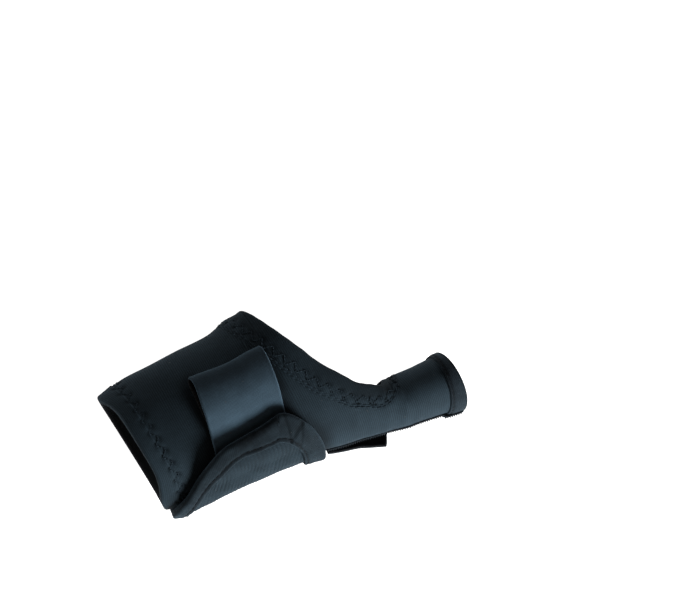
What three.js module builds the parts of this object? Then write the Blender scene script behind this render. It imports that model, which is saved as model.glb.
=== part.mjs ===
// A thumb spica splint for the left hand, in neoprene, in the shape that it has when it is worn: a wrist
// sleeve that runs out into a thumb tube, a wrap-over closure flap with a wide hem, an elastic pull strap
// that is folded back on itself, and the hem, seam ridge and tab that are sewn to the thumb.
// Millimetres. +X runs from the forearm to the thumb's end, +Y to the little finger's side, +Z out of the
// back of the hand. The origin is the centre of the wrist.
// Every layer is placed by (x, angle, height): x along the sleeve, an angle round it that is 0 at the little
// finger's side, 90 on the back of the hand, 180 on the thumb's side and 270 on the palm, and a height above
// the sleeve's lining.

import * as THREE from 'three';
import { mergeVertices } from 'three/addons/utils/BufferGeometryUtils.js';

// Lengths along the sleeve.
const CUFF_TO_WRIST = 39; // from the forearm edge to the wrist's centre
const WRIST_LENGTH = 76.6; // from the forearm edge to the hand opening, on the little finger's side
const OPENING_LENGTH = 42.4; // from there to the web of the thumb
const TUBE_LENGTH = 31; // from the web to the end of the thumb tube

// The hollow that the sleeve leaves for the wrist and the thumb.
const WRIST_HALF_WIDTH = 31;
const WRIST_HALF_HEIGHT = 20;
const THUMB_HALF_WIDTH = 10.8;
const THUMB_HALF_HEIGHT = 11.5;
const THUMB_OFFSET = 37; // the thumb's axis from the wrist's, towards the thumb's side
const THUMB_DROP = 9; // the thumb's axis from the wrist's, towards the palm
const WRIST_SQUARENESS = 2.25; // 2 is an ellipse
const THUMB_SQUARENESS = 2.05;
const CUFF_SLANT = 0.07; // how far the forearm edge leans towards the thumb's side, per mm of width
const CUFF_BOW = 3.9; // how far the forearm edge is cut back on the back of the hand
const CUFF_BOW_REACH = 24; // length along the sleeve in which this fades
const CUFF_BOW_START = 0.3; // sine of the angle round the sleeve where it begins
const CUFF_BOW_FULL = 0.95; // and where it is whole
const THUMB_LEAN = 0.155; // how far the thumb's end leans towards the palm, per mm of height

// Cloth.
const WALL = 3; // neoprene
const SEWN_GAP = 0.3; // between layers that are sewn together
const HOOK_GAP = 0.45; // between the flap and the sleeve that it grips
const CUFF_HEM = 9; // width of the turned hem at the forearm edge
const CUFF_HEM_RISE = 0.7;
const CUFF_HEM_STEP = 1; // length along which the sleeve comes down from that rise

// The hand opening.
const OPENING_ANGLE = 105; // degrees, from the little finger's side to each edge where it is widest
const OPENING_WIDEST = 0.62; // share of its length
const OPENING_ROUNDNESS = 0.7; // 0.5 is an ellipse's end and 1 a pointed one

// The closure flap, which comes round from the palm over the thumb's side.
const FLAP_LENGTH = 77; // along the sleeve
const FLAP_CUFF_INSET = 3.5; // from the forearm edge
const FLAP_THICKNESS = 2.6;
const FLAP_SEWN_ANGLE = 262; // where it is sewn down, on the palm
const FLAP_TOP_ANGLE = 119; // its free edge on the back of the hand
const FLAP_TOP_RISE = 5; // degrees that this edge gains towards the thumb
const FLAP_CUFF_CORNER = 38; // the corner's length along the sleeve
const FLAP_CUFF_CORNER_ANGLE = 180; // where this corner begins
const FLAP_CUFF_SQUARENESS = 1.62;
const FLAP_THUMB_CORNER = 15;
const FLAP_THUMB_CORNER_ANGLE = 165;
const FLAP_THUMB_SQUARENESS = 2;
const FLAP_HEM_CUFF = 7; // width of its hem on the forearm's side
const FLAP_HEM_THUMB = 10.5; // and on the thumb's side
const FLAP_HEM_THICKNESS = 1.3;
const FLAP_RAMP = 14; // length along which it comes down beside the strap's end that is sewn under it
const FLAP_RAMP_ANGLE = 20; // and the same round the sleeve, in degrees
const FLAP_END_RAMP = 7; // length along which it comes down again towards the thumb
const FLAP_END_DROP = 0.6; // share of the strap's thickness that it comes down there

// The pull strap.
const STRAP_WIDTH = 36;
const STRAP_THICKNESS = 1.6;
const STRAP_MIDDLE = 10.5; // its middle line where it leaves the flap, from the wrist's centre
const STRAP_LEAN = 8.5; // how far its folded end lies nearer to the thumb
const STRAP_TURN = 5; // degrees by which its fold's end near the thumb is further from the little finger
const STRAP_UNDER_SHIFT = 3.5; // how far the layer that is folded under lies nearer to the forearm
const STRAP_LIFT = 5.6; // how far its middle stands off the sleeve
const STRAP_MARGIN_ANGLE = 2; // degrees round its sewn end in which the flap above it stays flat

// The thumb's hem, seam ridge and tab.
const THUMB_HEM = 7.5;
const THUMB_HEM_NARROWING = 3.8; // how much narrower it is on the little finger's side
const THUMB_HEM_INSIDE = 5;
const THUMB_HEM_THICKNESS = 1;
const SEAM_ANGLE = 187;
const SEAM_WIDTH = 3;
const SEAM_HEIGHT = 1.3;
const SEAM_EDGE_HEIGHT = 0.4;
const TAB_FROM_FLAP = 2.5; // from the closure flap's end
const TAB_LENGTH = 32.2; // along the thumb, where it is sewn
const TAB_SLANT = 4; // how much shorter its free edge is
const TAB_THICKNESS = 1.8;
const TAB_LIFT = 6; // how far its free corner stands off the thumb
const TAB_NEAR_SHARE = 0.35; // share of that lift at its corner near the wrist

const DEGREE = Math.PI / 180;
const WELD = 1e-4; // points that are closer than this are one
const PLACES_PER_MM = 1000; // how finely the points of a folded grid are told apart

// The lining's sections. at is 0 to 1 along the wrist, 1 to 2 along the hand opening and 2 to 3 along the
// thumb tube. thumb is how far a section's unit goes from the wrist's half width and height to the thumb's.
// In those units, crest is the place of the highest point towards the little finger, radial and ulnar are
// the widths from there to the thumb's and the little finger's side, mid is the height of the widest place,
// and half the height above it.
const SECTIONS = [
  { at: 0, thumb: 0, crest: 0.09, radial: 0.87, ulnar: 0.87, mid: 0, half: 1.03 },
  { at: 0.17, thumb: 0, crest: 0.06, radial: 0.98, ulnar: 0.98, mid: 0, half: 1 },
  { at: 0.51, thumb: 0, crest: 0.04, radial: 1.01, ulnar: 1.01, mid: 0, half: 0.98 },
  { at: 0.74, thumb: 0, crest: 0.01, radial: 1.03, ulnar: 1.02, mid: 0, half: 0.97 },
  { at: 0.88, thumb: 0, crest: 0.03, radial: 1.1, ulnar: 1.07, mid: 0, half: 0.97 },
  { at: 1, thumb: 0, crest: 0.07, radial: 1.2, ulnar: 1.06, mid: 0, half: 0.96 },
  { at: 1.29, thumb: 0.15, crest: 0.34, radial: 1.51, ulnar: 1.13, mid: 0.02, half: 0.99 },
  { at: 1.53, thumb: 0.3, crest: 0.45, radial: 1.61, ulnar: 1.16, mid: 0.04, half: 0.99 },
  { at: 1.69, thumb: 0.5, crest: 0.26, radial: 1.36, ulnar: 0.62, mid: 0.06, half: 0.97 },
  { at: 1.81, thumb: 0.7, crest: 0.08, radial: 1.06, ulnar: 0.54, mid: 0.09, half: 0.97 },
  { at: 1.93, thumb: 0.88, crest: 0.01, radial: 0.84, ulnar: 0.78, mid: 0.15, half: 0.99 },
  { at: 2.13, thumb: 1, crest: 0.03, radial: 0.8, ulnar: 0.99, mid: 0.16, half: 1.02 },
  { at: 2.57, thumb: 1, crest: 0, radial: 0.96, ulnar: 0.95, mid: -0.02, half: 1.02 },
  { at: 3, thumb: 1, crest: -0.1, radial: 1.1, ulnar: 1, mid: -0.19, half: 1.09 },
];

// The strap's middle line, from its sewn end under the flap, over the wrist, round its fold and back under
// itself. lift is a share of STRAP_LIFT above a layer that lies flat, and under is 1 on the part that is
// folded under.
const STRAP_PATH = [
  { angle: 134, lift: 0, under: 0 },
  { angle: 124, lift: 0, under: 0 },
  { angle: 114, lift: 0.01, under: 0 },
  { angle: 107, lift: 0.17, under: 0 },
  { angle: 99, lift: 0.56, under: 0 },
  { angle: 91, lift: 0.86, under: 0 },
  { angle: 83, lift: 0.98, under: 0 },
  { angle: 76, lift: 0.93, under: 0.1 },
  { angle: 70.5, lift: 0.76, under: 0.3 },
  { angle: 68, lift: 0.47, under: 0.6 },
  { angle: 70, lift: 0.18, under: 0.85 },
  { angle: 75, lift: 0.03, under: 1 },
  { angle: 85, lift: 0, under: 1 },
  { angle: 98, lift: 0, under: 1 },
];

// The tab's middle line round the thumb, from its sewn end on the palm. lift is a share of TAB_LIFT.
const TAB_PATH = [
  { angle: 252, lift: 0 },
  { angle: 237, lift: 0 },
  { angle: 223, lift: 0.02 },
  { angle: 212, lift: 0.13 },
  { angle: 204, lift: 0.4 },
  { angle: 198, lift: 0.74 },
  { angle: 194.5, lift: 1 },
];

// How finely each piece is faceted.
const AROUND = 44;
const CUFF_STATIONS = [0, CUFF_HEM - CUFF_HEM_STEP, CUFF_HEM].map((along) => along / WRIST_LENGTH);
const WRIST_STATIONS = [...CUFF_STATIONS, 0.2, 0.27, 0.34, 0.48, 0.6, 0.7, 0.8, 0.88, 0.95, 1];
const OPENING_STEPS = 13;
const TUBE_STATIONS = [0, 0.14, 0.34, 0.58, 0.8, 1];
const FLAP_STEPS_ALONG = 10;
const FLAP_STEPS_CORNER = 10;
const FLAP_STEPS_DOWN = 10;
const FLAP_STEPS_BAND = 2;
const FLAP_CORNER_SHARE = 0.45; // share of the way down the flap where its corners end
const FLAP_CORNER_CROWDING = 1.4; // above 1, the points are closer near the top of a corner
const STRAP_STEPS = 2; // between two rows of its path
const STRAP_STEPS_ACROSS = 4;
const SEAM_STEPS = 17;
const SEAM_STEPS_ACROSS = 4;
const TAB_STEPS = 2;
const TAB_STEPS_ACROSS = 6;

const CUFF_X = -CUFF_TO_WRIST;
const OPENING_X = CUFF_X + WRIST_LENGTH;
const WEB_X = OPENING_X + OPENING_LENGTH;
const TUBE_END_X = WEB_X + TUBE_LENGTH;
const FLAP_START_X = CUFF_X + FLAP_CUFF_INSET;
const FLAP_END_X = FLAP_START_X + FLAP_LENGTH;
const TAB_START = FLAP_END_X + TAB_FROM_FLAP;
const STRAP_START_X = STRAP_MIDDLE - STRAP_WIDTH / 2;

const mix = (a, b, share) => a + (b - a) * share;

function smoothStep(from, to, value) {
  const t = THREE.MathUtils.clamp((value - from) / (to - from), 0, 1);
  return t * t * (3 - 2 * t);
}

// The place along X of a station, which is 0 to 3 as in SECTIONS.
function placeAlong(at) {
  if (at <= 1) return mix(CUFF_X, OPENING_X, at);
  if (at <= 2) return mix(OPENING_X, WEB_X, at - 1);
  return mix(WEB_X, TUBE_END_X, at - 2);
}

// A smooth curve through the rows of a table, whose key column rises: the value of another column there.
function curveThrough(keys, values, key) {
  let i = keys.findIndex((k) => k > key) - 1;
  if (i < -1) i = keys.length - 2;
  i = THREE.MathUtils.clamp(i, 0, keys.length - 2);
  const slopeAt = (k) => {
    const a = Math.max(k - 1, 0);
    const b = Math.min(k + 1, keys.length - 1);
    return (values[b] - values[a]) / (keys[b] - keys[a]);
  };
  const step = keys[i + 1] - keys[i];
  const t = (key - keys[i]) / step;
  const before = (1 + 2 * t) * (1 - t) ** 2 * values[i] + t * (1 - t) ** 2 * step * slopeAt(i);
  return before + t * t * (3 - 2 * t) * values[i + 1] + t * t * (t - 1) * step * slopeAt(i + 1);
}

const SECTION_PLACES = SECTIONS.map((row) => placeAlong(row.at));
const sectionColumn = (name, x) => curveThrough(SECTION_PLACES, SECTIONS.map((row) => row[name]), x);

// The lining's section at a place along the sleeve.
function sectionAt(x) {
  const thumb = THREE.MathUtils.clamp(sectionColumn('thumb', x), 0, 1);
  const width = mix(WRIST_HALF_WIDTH, THUMB_HALF_WIDTH, thumb);
  const height = mix(WRIST_HALF_HEIGHT, THUMB_HALF_HEIGHT, thumb);
  return {
    crest: -THUMB_OFFSET * thumb + sectionColumn('crest', x) * width,
    radial: sectionColumn('radial', x) * width,
    ulnar: sectionColumn('ulnar', x) * width,
    mid: -THUMB_DROP * thumb + sectionColumn('mid', x) * height,
    half: sectionColumn('half', x) * height,
    power: 2 / mix(WRIST_SQUARENESS, THUMB_SQUARENESS, thumb),
    lean: THUMB_LEAN * thumb,
    slant: CUFF_SLANT * smoothStep(0, CUFF_X, x),
    bow: CUFF_BOW * smoothStep(CUFF_X + CUFF_BOW_REACH, CUFF_X, x),
  };
}

// A point of the lining.
function liningPoint(x, angle) {
  const section = sectionAt(x);
  const c = Math.cos(angle * DEGREE);
  const s = Math.sin(angle * DEGREE);
  const side = c > 0 ? section.ulnar : section.radial;
  const across = Math.sign(c) * side * Math.abs(c) ** section.power;
  const up = Math.sign(s) * section.half * Math.abs(s) ** section.power;
  const back = section.bow * smoothStep(CUFF_BOW_START, CUFF_BOW_FULL, s);
  const along = x + section.lean * up - section.slant * across + back;
  return new THREE.Vector3(along, section.crest + across, section.mid + up);
}

const PROBE = 0.5; // mm and degrees, for slopes

// The lining's change for each degree round the sleeve.
function slopeAround(x, angle) {
  const ahead = liningPoint(x, angle + PROBE);
  return ahead.sub(liningPoint(x, angle - PROBE)).divideScalar(2 * PROBE);
}

// A point at a height above the lining, square to it.
function layerPoint(x, angle, height) {
  const along = liningPoint(x + PROBE, angle).sub(liningPoint(x - PROBE, angle));
  const outward = slopeAround(x, angle).cross(along).normalize();
  return liningPoint(x, angle).addScaledVector(outward, height);
}

// How many degrees round the sleeve a length takes.
const degreesFor = (x, angle, length) => length / slopeAround(x, angle).length();

// The outside of the sleeve, whose forearm edge is turned in and so is thicker.
function sleeveTop(x) {
  const inside = CUFF_X + CUFF_HEM;
  return WALL + CUFF_HEM_RISE * (1 - smoothStep(inside - CUFF_HEM_STEP, inside, x));
}

// The same for a layer that lies on it and comes down from the turned edge less steeply.
function sleeveCover(x) {
  const inside = CUFF_X + CUFF_HEM;
  const down = smoothStep(inside + CUFF_HEM_STEP, inside + CUFF_HEM, x);
  return WALL + HOOK_GAP + CUFF_HEM_RISE * (1 - down);
}

// How far each edge of the hand opening is from the little finger's side, in degrees.
function openingAngle(x) {
  const share = (x - OPENING_X) / OPENING_LENGTH;
  if (share <= 0 || share >= 1) return 0;
  const reach = share < OPENING_WIDEST ? OPENING_WIDEST : 1 - OPENING_WIDEST;
  const away = (share - OPENING_WIDEST) / reach;
  return OPENING_ANGLE * (1 - away * away) ** OPENING_ROUNDNESS;
}

// Turns the faces out if they face in.
function facingOut(points, faces) {
  const geometry = new THREE.BufferGeometry().setFromPoints(points);
  geometry.setIndex(faces.flat());
  const merged = mergeVertices(geometry, WELD);
  const index = merged.index.array;
  const at = (k) => new THREE.Vector3().fromBufferAttribute(merged.attributes.position, index[k]);
  let volume = 0;
  for (let k = 0; k < index.length; k += 3) volume += at(k).dot(at(k + 1).cross(at(k + 2)));
  if (volume < 0) {
    for (let k = 0; k < index.length; k += 3) [index[k + 1], index[k + 2]] = [index[k + 2], index[k + 1]];
  }
  merged.computeVertexNormals();
  return merged;
}

// A closed solid between a front and a back that have the same points, from the front's faces. Points of the
// front that lie in one place are taken as one.
function solidBetween(front, back, faces) {
  const places = new Map();
  const first = front.map((point, k) => {
    const key = point.toArray().map((value) => Math.round(value * PLACES_PER_MM)).join();
    if (!places.has(key)) places.set(key, k);
    return places.get(key);
  });
  const welded = faces.map((face) => face.map((k) => first[k])).filter((face) => new Set(face).size === 3);
  const behind = front.length;
  const all = [...welded];
  const rim = new Map();
  for (const [a, b, c] of welded) {
    all.push([a + behind, c + behind, b + behind]);
    for (const [from, to] of [[a, b], [b, c], [c, a]]) {
      if (!rim.delete(`${to} ${from}`)) rim.set(`${from} ${to}`, [from, to]);
    }
  }
  for (const [from, to] of rim.values()) {
    all.push([to, from, from + behind], [to, from + behind, to + behind]);
  }
  return facingOut([...front, ...back], all);
}

// The faces of a grid of points, whose rows follow one another from a first point.
function gridFaces(rows, columns, first = 0) {
  const faces = [];
  for (let i = 0; i < rows - 1; i++) {
    for (let j = 0; j < columns - 1; j++) {
      const a = first + i * columns + j;
      faces.push([a, a + 1, a + columns + 1], [a, a + columns + 1, a + columns]);
    }
  }
  return faces;
}

// A closed solid between two grids of points, which are lists of rows.
const slab = (front, back) =>
  solidBetween(front.flat(), back.flat(), gridFaces(front.length, front[0].length));

// A closed ring with the same profile all round, from a grid of points whose rows are the profile's places.
function ring(grid) {
  const rows = grid.length;
  const columns = grid[0].length;
  const at = (i, j) => (i % rows) * columns + (j % columns);
  const faces = [];
  for (let i = 0; i < rows; i++) {
    for (let j = 0; j < columns; j++) {
      faces.push([at(i, j), at(i, j + 1), at(i + 1, j + 1)], [at(i, j), at(i + 1, j + 1), at(i + 1, j)]);
    }
  }
  return facingOut(grid.flat(), faces);
}

const steps = (count) => Array.from({ length: count + 1 }, (_, k) => k / count);

// A ribbon along a path of places, each a function of the share across its width, with its thickness square
// to it.
function ribbon(places, across, thickness) {
  const middle = places.map((place) => across.map(place));
  const offset = (side) =>
    middle.map((row, i) =>
      row.map((point, j) => {
        const ahead = middle[Math.min(i + 1, middle.length - 1)][j].clone();
        const along = ahead.sub(middle[Math.max(i - 1, 0)][j]);
        const wide = row[Math.min(j + 1, row.length - 1)].clone().sub(row[Math.max(j - 1, 0)]);
        return point.clone().addScaledVector(along.cross(wide).normalize(), (side * thickness) / 2);
      }),
    );
  return slab(offset(1), offset(-1));
}

// The rows of a path table with more places between them, each with every column worked out.
function finerPath(table, count) {
  const keys = table.map((_, k) => k);
  const places = steps((table.length - 1) * count).map((share) => share * (table.length - 1));
  const names = Object.keys(table[0]);
  const column = (name, key) => curveThrough(keys, table.map((row) => row[name]), key);
  return places.map((key) => Object.fromEntries(names.map((name) => [name, column(name, key)])));
}

// The wrist sleeve and thumb tube, one wall of neoprene with the hand opening on the little finger's side.
function sleeveGeometry() {
  const opening = steps(OPENING_STEPS).map((t) => 1 + (1 - Math.cos(Math.PI * t)) / 2);
  const stations = [
    ...WRIST_STATIONS.slice(0, -1),
    ...opening,
    ...TUBE_STATIONS.slice(1).map((t) => 2 + t),
  ].map(placeAlong);
  const grid = (height) =>
    stations.map((x) => {
      const edge = openingAngle(x);
      return steps(AROUND).map((share) => layerPoint(x, mix(edge, 360 - edge, share), height(x)));
    });
  return slab(grid(sleeveTop), grid(() => 0));
}

// The band that is folded over the thumb tube's end.
function thumbHemGeometry() {
  const low = SEWN_GAP;
  const high = SEWN_GAP + THUMB_HEM_THICKNESS;
  const edge = (angle) => (THUMB_HEM_NARROWING * (1 + Math.cos(angle * DEGREE))) / 2 - THUMB_HEM;
  const profile = [
    { along: edge, height: WALL + low },
    { along: edge, height: WALL + high },
    { along: () => high, height: WALL + high },
    { along: () => high, height: -high },
    { along: () => -THUMB_HEM_INSIDE, height: -high },
    { along: () => -THUMB_HEM_INSIDE, height: -low },
    { along: () => low, height: -low },
    { along: () => low, height: WALL + low },
  ];
  const angles = steps(AROUND).slice(0, -1).map((share) => 360 * share);
  const pointAt = (p, angle) => layerPoint(TUBE_END_X + p.along(angle), angle, p.height);
  return ring(profile.map((p) => angles.map((angle) => pointAt(p, angle))));
}

// The raised seam along the thumb's side, which runs on over the thumb's hem.
function thumbSeamGeometry() {
  const start = FLAP_END_X + 3 * SEWN_GAP;
  const end = TUBE_END_X + SEWN_GAP + THUMB_HEM_THICKNESS;
  const hemStart = TUBE_END_X - THUMB_HEM;
  const over = THUMB_HEM_THICKNESS + SEWN_GAP;
  const places = [
    ...steps(SEAM_STEPS).map((share) => mix(start, hemStart - 2 * over, share)),
    hemStart - over,
    ...steps(2).map((share) => mix(hemStart - SEWN_GAP, end, share)),
  ];
  const base = (x) => WALL + SEWN_GAP + over * smoothStep(hemStart - 2 * over, hemStart - SEWN_GAP, x);
  const grid = (height) =>
    places.map((x) =>
      steps(SEAM_STEPS_ACROSS).map((share) => {
        const aside = (share - 0.5) * degreesFor(x, SEAM_ANGLE, SEAM_WIDTH);
        return layerPoint(x, SEAM_ANGLE + aside, base(x) + height(share));
      }),
    );
  const crown = (share) => mix(SEAM_EDGE_HEIGHT, SEAM_HEIGHT, Math.sin(Math.PI * share));
  return slab(grid(crown), grid(() => 0));
}

// How far the closure flap is lifted by the strap's end beneath it.
function flapBase(x, angle) {
  const edge = STRAP_START_X - SEWN_GAP;
  const sewn = STRAP_PATH[0].angle + STRAP_MARGIN_ANGLE;
  const up = smoothStep(edge - FLAP_RAMP, edge, x) * smoothStep(sewn + FLAP_RAMP_ANGLE, sewn, angle);
  const down = FLAP_END_DROP * smoothStep(FLAP_END_X - FLAP_END_RAMP, FLAP_END_X, x);
  return sleeveCover(x) + (STRAP_THICKNESS + 2 * SEWN_GAP) * up * (1 - down);
}

// How wide the flap's hem is at a share of its length.
const flapHemWidth = (alongShare) => mix(FLAP_HEM_CUFF, FLAP_HEM_THUMB, alongShare);

// The angle of the flap's free edge on the back of the hand. inset is 0 on the edge and 1 on the hem's inner
// line.
function flapTopAngle(alongShare, inset) {
  const x = mix(FLAP_START_X + FLAP_CUFF_CORNER, FLAP_END_X - FLAP_THUMB_CORNER, alongShare);
  const within = degreesFor(x, FLAP_TOP_ANGLE, flapHemWidth(alongShare) * inset);
  return FLAP_TOP_ANGLE - FLAP_TOP_RISE * alongShare + within;
}

// How much of a corner's length is cut away at an angle.
function cornerCut(angle, beginning, top, squareness) {
  const t = THREE.MathUtils.clamp((beginning - angle) / (beginning - top), 0, 1);
  return 1 - (1 - t ** squareness) ** (1 / squareness);
}

// A place on the flap, at a share of its length and of the way from its top edge to where it is sewn.
function flapPlace(alongShare, downShare, inset) {
  const angle = mix(flapTopAngle(alongShare, inset), FLAP_SEWN_ANGLE, downShare);
  const cuffCut = cornerCut(angle, FLAP_CUFF_CORNER_ANGLE, flapTopAngle(0, inset), FLAP_CUFF_SQUARENESS);
  const thumbCut = cornerCut(angle, FLAP_THUMB_CORNER_ANGLE, flapTopAngle(1, inset), FLAP_THUMB_SQUARENESS);
  const cuffHem = FLAP_HEM_CUFF * inset;
  const thumbHem = FLAP_HEM_THUMB * inset;
  const start = FLAP_START_X + cuffHem + (FLAP_CUFF_CORNER - cuffHem / 2) * cuffCut;
  const end = FLAP_END_X - thumbHem - (FLAP_THUMB_CORNER - thumbHem / 2) * thumbCut;
  return { x: mix(start, end, alongShare), angle };
}

// The shares of the flap's length and of the way down it at which its outline has points.
const FLAP_ALONG = steps(FLAP_STEPS_ALONG);
const FLAP_DOWN = [
  ...steps(FLAP_STEPS_CORNER).map((t) => FLAP_CORNER_SHARE * t ** FLAP_CORNER_CROWDING),
  ...steps(FLAP_STEPS_DOWN).slice(1).map((t) => mix(FLAP_CORNER_SHARE, 1, t)),
];

// The places along the flap's three free sides.
const flapOutline = (inset) => [
  ...[...FLAP_DOWN].reverse().map((v) => flapPlace(0, v, inset)),
  ...FLAP_ALONG.slice(1, -1).map((u) => flapPlace(u, 0, inset)),
  ...FLAP_DOWN.map((v) => flapPlace(1, v, inset)),
];

const flapPoint = ({ x, angle }, height) => layerPoint(x, angle, flapBase(x, angle) + height);

// The band of the flap's hem, as rows from the edge to the inside.
const flapBand = () => {
  const outer = flapOutline(0);
  const inner = flapOutline(1);
  const between = (k, share) => ({
    x: mix(outer[k].x, inner[k].x, share),
    angle: mix(outer[k].angle, inner[k].angle, share),
  });
  return steps(FLAP_STEPS_BAND).map((share) => outer.map((_, k) => between(k, share)));
};

// The ribbed panel of the closure flap: the part inside the hem, and the band under the hem.
function flapGeometry() {
  const panel = FLAP_DOWN.map((v) => FLAP_ALONG.map((u) => flapPlace(u, v, 1)));
  const band = flapBand();
  const places = [...panel.flat(), ...band.flat()];
  const panelFaces = gridFaces(FLAP_DOWN.length, FLAP_ALONG.length);
  const bandFaces = gridFaces(band.length, band[0].length, panel.flat().length);
  const layer = (height) => places.map((place) => flapPoint(place, height));
  return solidBetween(layer(FLAP_THICKNESS), layer(0), [...panelFaces, ...bandFaces]);
}

// The wide hem round the flap's three free sides.
function flapHemGeometry() {
  const bottom = FLAP_THICKNESS + SEWN_GAP;
  const layer = (height) => flapBand().map((row) => row.map((place) => flapPoint(place, height)));
  return slab(layer(bottom + FLAP_HEM_THICKNESS), layer(bottom));
}

// The elastic strap, which leaves the flap, stands off the wrist and is folded back under itself.
function strapGeometry() {
  const path = finerPath(STRAP_PATH, STRAP_STEPS);
  const sewn = STRAP_PATH[0].angle;
  const folded = Math.min(...STRAP_PATH.map((row) => row.angle));
  const places = path.map((row) => (share) => {
    const out = (sewn - row.angle) / (sewn - folded);
    const aside = STRAP_LEAN * out - STRAP_UNDER_SHIFT * row.under;
    const height = WALL + SEWN_GAP + STRAP_THICKNESS / 2 + STRAP_LIFT * row.lift;
    const angle = row.angle + STRAP_TURN * (share - 0.5) * out;
    return layerPoint(STRAP_MIDDLE + aside + (share - 0.5) * STRAP_WIDTH, angle, height);
  });
  return ribbon(places, steps(STRAP_STEPS_ACROSS), STRAP_THICKNESS);
}

// The tab on the palm side of the thumb, whose free corner sticks out past the seam.
function tabGeometry() {
  const places = finerPath(TAB_PATH, TAB_STEPS).map((row) => (share) => {
    const lift = TAB_LIFT * mix(TAB_NEAR_SHARE, 1, share) * row.lift;
    const height = WALL + SEWN_GAP + TAB_THICKNESS / 2 + lift;
    const x = TAB_START + (TAB_LENGTH - TAB_SLANT * row.lift) * share;
    return layerPoint(x, row.angle, height);
  });
  return ribbon(places, steps(TAB_STEPS_ACROSS), TAB_THICKNESS);
}

const NEOPRENE = new THREE.MeshStandardMaterial({ color: 0x14181b, roughness: 0.85, metalness: 0 });
const RIBBED_KNIT = new THREE.MeshStandardMaterial({ color: 0x26323b, roughness: 0.9, metalness: 0 });
const ELASTIC = new THREE.MeshStandardMaterial({ color: 0x2b3a46, roughness: 0.8, metalness: 0 });
const BINDING = new THREE.MeshStandardMaterial({ color: 0x101315, roughness: 0.9, metalness: 0 });

function piece(name, geometry, material) {
  const mesh = new THREE.Mesh(geometry, material);
  mesh.name = name;
  return mesh;
}

const splint = new THREE.Group();
splint.name = 'thumb_spica_splint';
splint.add(
  piece('sleeve', sleeveGeometry(), NEOPRENE),
  piece('thumb_hem', thumbHemGeometry(), BINDING),
  piece('thumb_seam', thumbSeamGeometry(), BINDING),
  piece('closure_flap', flapGeometry(), RIBBED_KNIT),
  piece('flap_hem', flapHemGeometry(), NEOPRENE),
  piece('pull_strap', strapGeometry(), ELASTIC),
  piece('palm_tab', tabGeometry(), BINDING),
);

export default splint;
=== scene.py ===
"""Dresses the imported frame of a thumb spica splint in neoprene, as it is worn on a left hand.

Every layer is placed by x along the sleeve, an angle round it (0 on the little finger's side, 90 on the
back of the hand, 180 on the thumb's side and 270 on the palm) and a height above the lining. Lengths are in
millimetres until a mesh is made, which is in metres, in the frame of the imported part.
"""
import logging
import math
from dataclasses import dataclass, field
from enum import Enum
from typing import Callable, Sequence

import bpy
import numpy as np
from mathutils import Matrix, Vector
from mathutils.kdtree import KDTree


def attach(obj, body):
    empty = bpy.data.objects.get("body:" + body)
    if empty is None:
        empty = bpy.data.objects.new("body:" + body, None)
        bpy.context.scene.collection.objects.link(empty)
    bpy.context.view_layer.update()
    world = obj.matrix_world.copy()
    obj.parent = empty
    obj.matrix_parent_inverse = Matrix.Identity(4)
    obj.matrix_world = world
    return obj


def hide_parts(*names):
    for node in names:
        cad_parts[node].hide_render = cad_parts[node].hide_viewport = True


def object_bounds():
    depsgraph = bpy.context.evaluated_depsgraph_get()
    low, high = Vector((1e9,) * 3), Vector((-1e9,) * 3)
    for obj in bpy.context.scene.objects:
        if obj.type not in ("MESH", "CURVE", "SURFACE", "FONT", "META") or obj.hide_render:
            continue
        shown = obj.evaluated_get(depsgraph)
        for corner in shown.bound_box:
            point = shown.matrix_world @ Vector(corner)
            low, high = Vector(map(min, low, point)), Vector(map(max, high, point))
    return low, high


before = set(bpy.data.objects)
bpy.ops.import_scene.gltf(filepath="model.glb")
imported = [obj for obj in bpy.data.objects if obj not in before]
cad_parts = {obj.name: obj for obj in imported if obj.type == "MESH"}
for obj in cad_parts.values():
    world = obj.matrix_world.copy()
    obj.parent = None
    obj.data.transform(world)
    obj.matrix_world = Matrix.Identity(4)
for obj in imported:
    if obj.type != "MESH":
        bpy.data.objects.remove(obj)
CAD_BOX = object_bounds()

log = logging.getLogger("splint")
# a millimetre in metres, a distance in mm beyond every edge, and one that is next to nothing
MM = 0.001
FAR = 99.0
SLIGHT = 1e-6
Array = np.ndarray
Pair = tuple[float, float]
Triple = tuple[float, float, float]
Colour = tuple[float, float, float]
Socket = bpy.types.NodeSocket


# numbers and curves


def mix(a: Array, b: Array, share: Array) -> Array:
    """Goes from a to b by a share."""
    return a + (b - a) * share


def smooth_step(start: float, end: float, value: Array) -> Array:
    """Rises smoothly from 0 at start to 1 at end.

    Args:
        start: Where the rise begins.
        end: Where it ends, which may be below start.
        value: The places asked for.

    Returns:
        The height of the rise at each place.
    """
    t = np.clip((np.asarray(value, float) - start) / (end - start), 0, 1)
    return t * t * (3 - 2 * t)


def curve_through(keys: Array, values: Array, key: Array) -> Array:
    """Reads a smooth curve through the rows of a table.

    Args:
        keys: The rows' places, rising.
        values: The curve's values there.
        key: The places asked for.

    Returns:
        The curve's values at those places.
    """
    key = np.asarray(key, float)
    slopes = np.empty(len(keys))
    slopes[1:-1] = (values[2:] - values[:-2]) / (keys[2:] - keys[:-2])
    slopes[0] = (values[1] - values[0]) / (keys[1] - keys[0])
    slopes[-1] = (values[-1] - values[-2]) / (keys[-1] - keys[-2])
    i = np.clip(np.searchsorted(keys, key, side="right") - 1, 0, len(keys) - 2)
    step = keys[i + 1] - keys[i]
    t = (key - keys[i]) / step
    before = (1 + 2 * t) * (1 - t) ** 2 * values[i] + t * (1 - t) ** 2 * step * slopes[i]
    return before + t * t * (3 - 2 * t) * values[i + 1] + t * t * (t - 1) * step * slopes[i + 1]


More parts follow.
